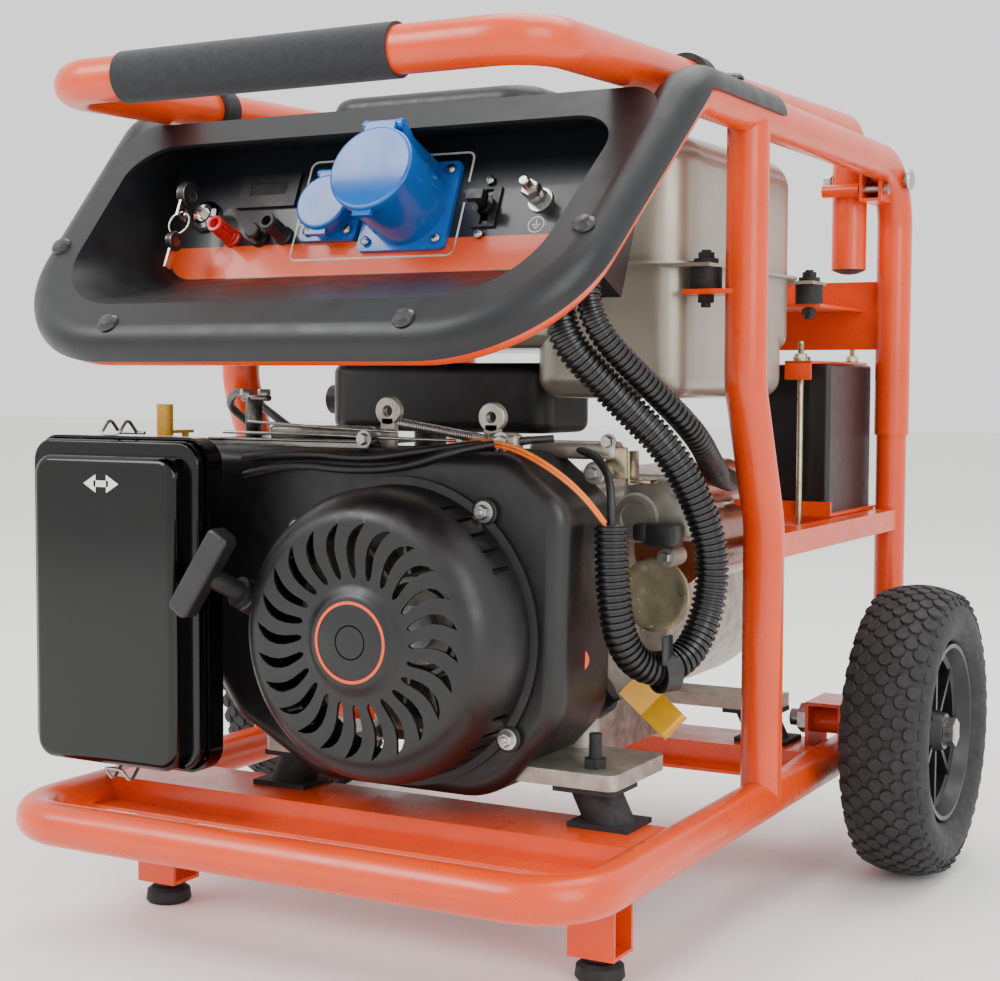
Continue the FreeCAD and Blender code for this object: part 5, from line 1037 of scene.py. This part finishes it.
def addRecoil():
    axle = middleOf("flywheel")
    bowl = lathe(recoil["outside"] + recoil["inside"], sides=96, solid=False)
    lid = lathe([(13, 71), (13, 74)], sides=96)
    cutWith(bowl, slotCutter())
    count, spread = recoil["slits"]
    slits = []
    for step in range(count):
        slit = block((24, 3.6, 24), (110, 0, 22))
        slit.rotation_euler = (0, 0, math.radians(45 + (step - (count - 1) / 2) * spread))
        applyPlace(slit)
        slits.append(slit)
    cutWith(bowl, turnCopies(joinAll(slits), 4))
    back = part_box("recoil_cover")[1][1]
    parts = [bowl, lid]
    reach = recoil["earRadius"] * mm
    for turn in recoil["ears"]:
        angle = math.radians(turn)
        ear = lathe([(10.5, 0), (10.5, 4.4), (9.6, 5), (6.5, 5), (6.2, 4.2)], sides=28)
        moveTo(ear, (reach * math.cos(angle), -reach * math.sin(angle), 0))
        parts.append(ear)
    cover = joinAll(parts)
    moveTo(cover, (axle.x, back, axle.z), facingFront)
    spot, way = recoil["grip"]
    boss = lathe([(13, -22), (13, 2.6), (11.6, 4), (9.2, 4), (8.6, 3), (8.6, -22)], sides=36, solid=False)
    moveTo(boss, Vector(spot) * mm, towards(way))
    cover = joinAll([cover, boss])
    cleanMesh(cover)
    finish(cover, "slottedRecoilCover", "frame", blackEnamel, 30, ["recoil_cover"])


addRecoil()
print("recoil cover made")

# battery strap and its long bolts, in mm
strap = {
    "across": 205,
    "along": 293,
    "top": 459.3,
    "width": 26,
    "length": 176,
    "bolts": (214, 372),
    "low": 290,
    "high": 481,
}


def addBatteryStrap():
    across, along, top = strap["across"], strap["along"], strap["top"]
    bar = [block((strap["width"], strap["length"], 3), (across, along, top + 1.5), 1, 2)]
    for side in (-1, 1):
        end = side * (strap["length"] - 3) / 2
        bar.append(block((strap["width"], 3, 18), (across, along + end, top - 6), 1, 2))
    # the strap takes the darker copy of the orange coat: painted shade
    finish(joinAll(bar), "batteryStrap", "frame", shadedClampCoat, 35, ["battery_clamp"])
    rods = []
    for spot in strap["bolts"]:
        ribs = []
        for step in range(11):
            ribs += [(3.0, strap["high"] - 15 + step * 1.2), (2.6, strap["high"] - 14.4 + step * 1.2)]
        rod = lathe([(3, strap["low"]), *ribs, (2.4, strap["high"] - 0.5)], sides=20)
        nut = hexHead(10.4, 5)
        moveTo(nut, (0, 0, (top + 4.6) * mm))
        washer = lathe([(7, top + 3), (7, top + 4.6)], sides=28)
        foot = hexHead(10.4, 5)
        moveTo(foot, (0, 0, strap["low"] * mm))
        bolt = joinAll([rod, nut, washer, foot])
        moveTo(bolt, (across * mm, spot * mm, 0))
        rods.append(bolt)
    finish(joinAll(rods), "batteryRods", "frame", zincYellow, 35)


addBatteryStrap()

# fittings on top of the engine, places in mm
engineTop = {
    "deck": ((158, 72, 3), (-80, -178, 393)),
    "rib": ((104, 24, 12), (-66, -172, 399)),
    "skirt": ((158, 3, 14), (-80, -212.5, 388)),
    "post": ((6, 18, 34), (-136, -180, 411)),
    "cross": ((24, 12, 5), (-132, -182, 427)),
    "bolts": [(-142, -182, 429.5), (-124, -182, 429.5), (70, -194, 394.5), (-20, -190, 394.5)],
    "frontBolts": [((112, -202, 395), 10), ((-4, -214, 396), 8.4)],
    "foot": 392,
    "eyes": [(8, -196, 418), (98, -190, 414)],
    "boss": ((26, 16, 14), (112, -196, 395)),
    "spring": ((20, -200, 409), (104, -198, 396)),
    "rods": [
        [(-148, -206, 399), (-60, -208, 399), (10, -208, 397), (74, -206, 396)],
        [(-130, -196, 408), (-60, -202, 404), (20, -204, 402)],
    ],
}


def eyeBracket(across, along, high):
    ring = lathe(
        [(4.6, -3.5), (10.6, -3.5), (11.4, -2.6), (11.4, 2.6), (10.6, 3.5), (4.6, 3.5), (4.6, -3.5)],
        sides=32,
        solid=False,
    )
    moveTo(ring, (0, 0, 0), facingFront)
    tall = high - engineTop["foot"]
    foot = block((14, 7, tall), (0, 0, -tall / 2 - 4), 2, 2)
    eye = joinAll([ring, foot])
    moveTo(eye, (across * mm, along * mm, high * mm))
    return eye


def makeSpring(start, end):
    pitch, steps = 1.9, 14
    deselectAll()
    bpy.ops.mesh.primitive_circle_add(
        vertices=8,
        radius=0.7 * mm,
        location=(3.2 * mm, 0, 0),
        rotation=(math.pi / 2, 0, 0),
        fill_type="NOTHING",
    )
    coil = bpy.context.object
    applyPlace(coil)
    run = Vector(end) - Vector(start)
    turns = {"angle": 2 * math.pi, "screw_offset": pitch * mm, "iterations": int(run.length / pitch)}
    useModifier(coil, "SCREW", steps=steps, render_steps=steps, **turns)
    moveTo(coil, Vector(start) * mm, towards(run))
    return coil


def addEngineTop():
    deck = block(*engineTop["deck"], 1, 2)
    rib = block(*engineTop["rib"], 4, 3)
    skirt = block(*engineTop["skirt"], 1, 2)
    post = block(*engineTop["post"], 2, 2)
    cross = block(*engineTop["cross"], 1.5, 2)
    bolts = []
    for place in engineTop["bolts"]:
        head = hexHead(9.6, 5)
        moveTo(head, Vector(place) * mm)
        bolts.append(head)
    for place, across in engineTop["frontBolts"]:
        head = joinAll([lathe([(across * 0.8, 0), (across * 0.8, 1.4)], sides=24), hexHead(across, 6)])
        moveTo(head, Vector(place) * mm, facingFront)
        bolts.append(head)
    deck = joinAll([deck, rib, skirt, post, cross])
    finish(deck, "governorDeck", "frame", polishedSteel, 35, ["control_bracket"])
    finish(
        joinAll(bolts + [makeSpring(*engineTop["spring"])]), "governorBolts", "frame", zincPlate, 35
    )
    for number, route in enumerate(engineTop["rods"]):
        rod = makeCable([Vector(p) * mm for p in route], 1.3)
        finish(rod, f"governorRod{number}", "frame", zincPlate, 60)
    eyes = [eyeBracket(*spot) for spot in engineTop["eyes"]]
    eyes.append(block(*engineTop["boss"], 4, 3))
    finish(joinAll(eyes), "castEyes", "frame", castAluminium, 35)


addEngineTop()

# castings and plates on the engine's right side, places in mm
engineSide = {
    "cover": ((66, 26, 52), (196, -84, 342)),
    "boss": (178, -98, 334),
    "arm": ((74, 22, 14), (150, -150, 389)),
    "hanger": [
        ((3, 18, 26), (196, -146, 376)), ((18, 16, 3), (205, -146, 366)), ((18, 3, 24), (187, -156, 380))
    ],
    "screwBoss": (214, -98, 358),
    "lowBoss": (206, -100, 304),
    "shroudBoss": (172, -160, 372),
    "bolts": [(172, -165, 372), (182, -160, 396), (214, -103, 358), (206, -104, 304)],
    "plug": [((26, 22, 18), (206, -108, 322)), ((14, 14, 14), (190, -112, 324))],
    "clip": ((226.5, -152, 221.5), (-0.50, -0.84, -0.06)),
    "clipTab": ((3, 16, 22), (232, -160, 240)),
    "plate": (190, -86, 272),
    "dot": (172, -192, 232),
}


def roundFront(profile, place, sides=36):
    obj = lathe(profile, sides=sides)
    moveTo(obj, Vector(place) * mm, facingFront)
    return obj


def addEngineSide():
    cast = [block(*engineSide["cover"], 9, 4), block(*engineSide["arm"], 5, 3)]
    cast.append(roundFront([(20, -6), (20, 2), (18, 4), (13, 4), (12, 2)], engineSide["boss"]))
    cast.append(roundFront([(7, -6), (7, 4), (6, 5)], engineSide["screwBoss"], 24))
    cast.append(roundFront([(8, -20), (8, 3), (7, 4)], engineSide["lowBoss"], 24))
    cast.append(roundFront([(9, -14), (9, 4), (8, 5)], engineSide["shroudBoss"], 24))
    finish(joinAll(cast), "startCover", "frame", castAluminium, 35)
    bolts = []
    for place in engineSide["bolts"]:
        bolts.append(roundFront([(6.4, 0), (6.4, 1.2), (4, 1.3)], place, 24))
        head = hexHead(8.6, 5)
        moveTo(head, Vector((place[0], place[1] - 1.2, place[2])) * mm, facingFront)
        bolts.append(head)
    finish(joinAll(bolts), "sideBolts", "frame", zincPlate, 35)
    hanger = joinAll([block(size, place, 1, 2) for size, place in engineSide["hanger"]])
    finish(hanger, "cableHanger", "frame", zincYellow, 35)
    plate = roundFront([(30, 0), (30, 2), (28, 2.6), (24, 2.2)], engineSide["plate"], 40)
    finish(plate, "solenoidPlate", "frame", zincYellow, 35)
    plug = joinAll([block(size, place, 3, 2) for size, place in engineSide["plug"]])
    finish(plug, "starterPlug", "frame", blackNylon, 35)
    clip = lathe([(13.6, -7), (15.4, -7), (15.4, 7), (13.6, 7), (13.6, -7)], sides=36, solid=False)
    spot, way = engineSide["clip"]
    moveTo(clip, Vector(spot) * mm, towards(way))
    tab = block(*engineSide["clipTab"], 1, 2)
    finish(joinAll([clip, tab]), "conduitClip", "frame", blackNylon, 35)
    dot = lathe([(9.5, 0), (9.5, 0.3), (9.2, 0.4)], sides=36)
    moveTo(dot, Vector(engineSide["dot"]) * mm, towards((0.62, -0.78, 0)))
    finish(dot, "orangeSpot", "frame", orangeInk, 35)


addEngineSide()
print("engine fittings made")


# floor and light
studio = {
    "floorColour": "F4F3F1",
    "worldColour": "FFFFFF",
    "worldStrength": 1.35,
    "keyLight": ((-1.6, -2.2, 2.4), (0, 0, 0.3), (1.8, 1.4), 70),
    "fillLight": ((2.4, -1.4, 1.5), (0, 0, 0.35), (1.4, 2.0), 36),
    "topLight": ((0.2, 0.6, 2.8), (0, 0, 0.3), (2.4, 2.0), 50),
}


def addFloor():
    deselectAll()
    bpy.ops.mesh.primitive_plane_add(size=30, location=(0, 0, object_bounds()[0][2] - 0.0005))
    floor = bpy.context.object
    floor.name = "floor"
    material = bpy.data.materials.new("matteFloor")
    material.use_nodes = True
    shader = material.node_tree.nodes["Principled BSDF"]
    shader.inputs["Base Color"].default_value = linear(studio["floorColour"])
    shader.inputs["Roughness"].default_value = 0.85
    floor.data.materials.append(material)


def addSoftLight(name, place, aim, size, power):
    data = bpy.data.lights.new(name, "AREA")
    data.shape = "RECTANGLE"
    data.size, data.size_y = size
    data.energy = power
    lamp = bpy.data.objects.new(name, data)
    bpy.context.scene.collection.objects.link(lamp)
    lamp.location = place
    lamp.rotation_euler = (Vector(aim) - Vector(place)).to_track_quat("-Z", "Y").to_euler()


def addStudio():
    world = bpy.data.worlds.new("studioWorld")
    bpy.context.scene.world = world
    world.use_nodes = True
    back = world.node_tree.nodes["Background"]
    back.inputs["Color"].default_value = linear(studio["worldColour"])
    back.inputs["Strength"].default_value = studio["worldStrength"]
    for name in ("keyLight", "fillLight", "topLight"):
        addSoftLight(name, *studio[name])


addFloor()
addStudio()
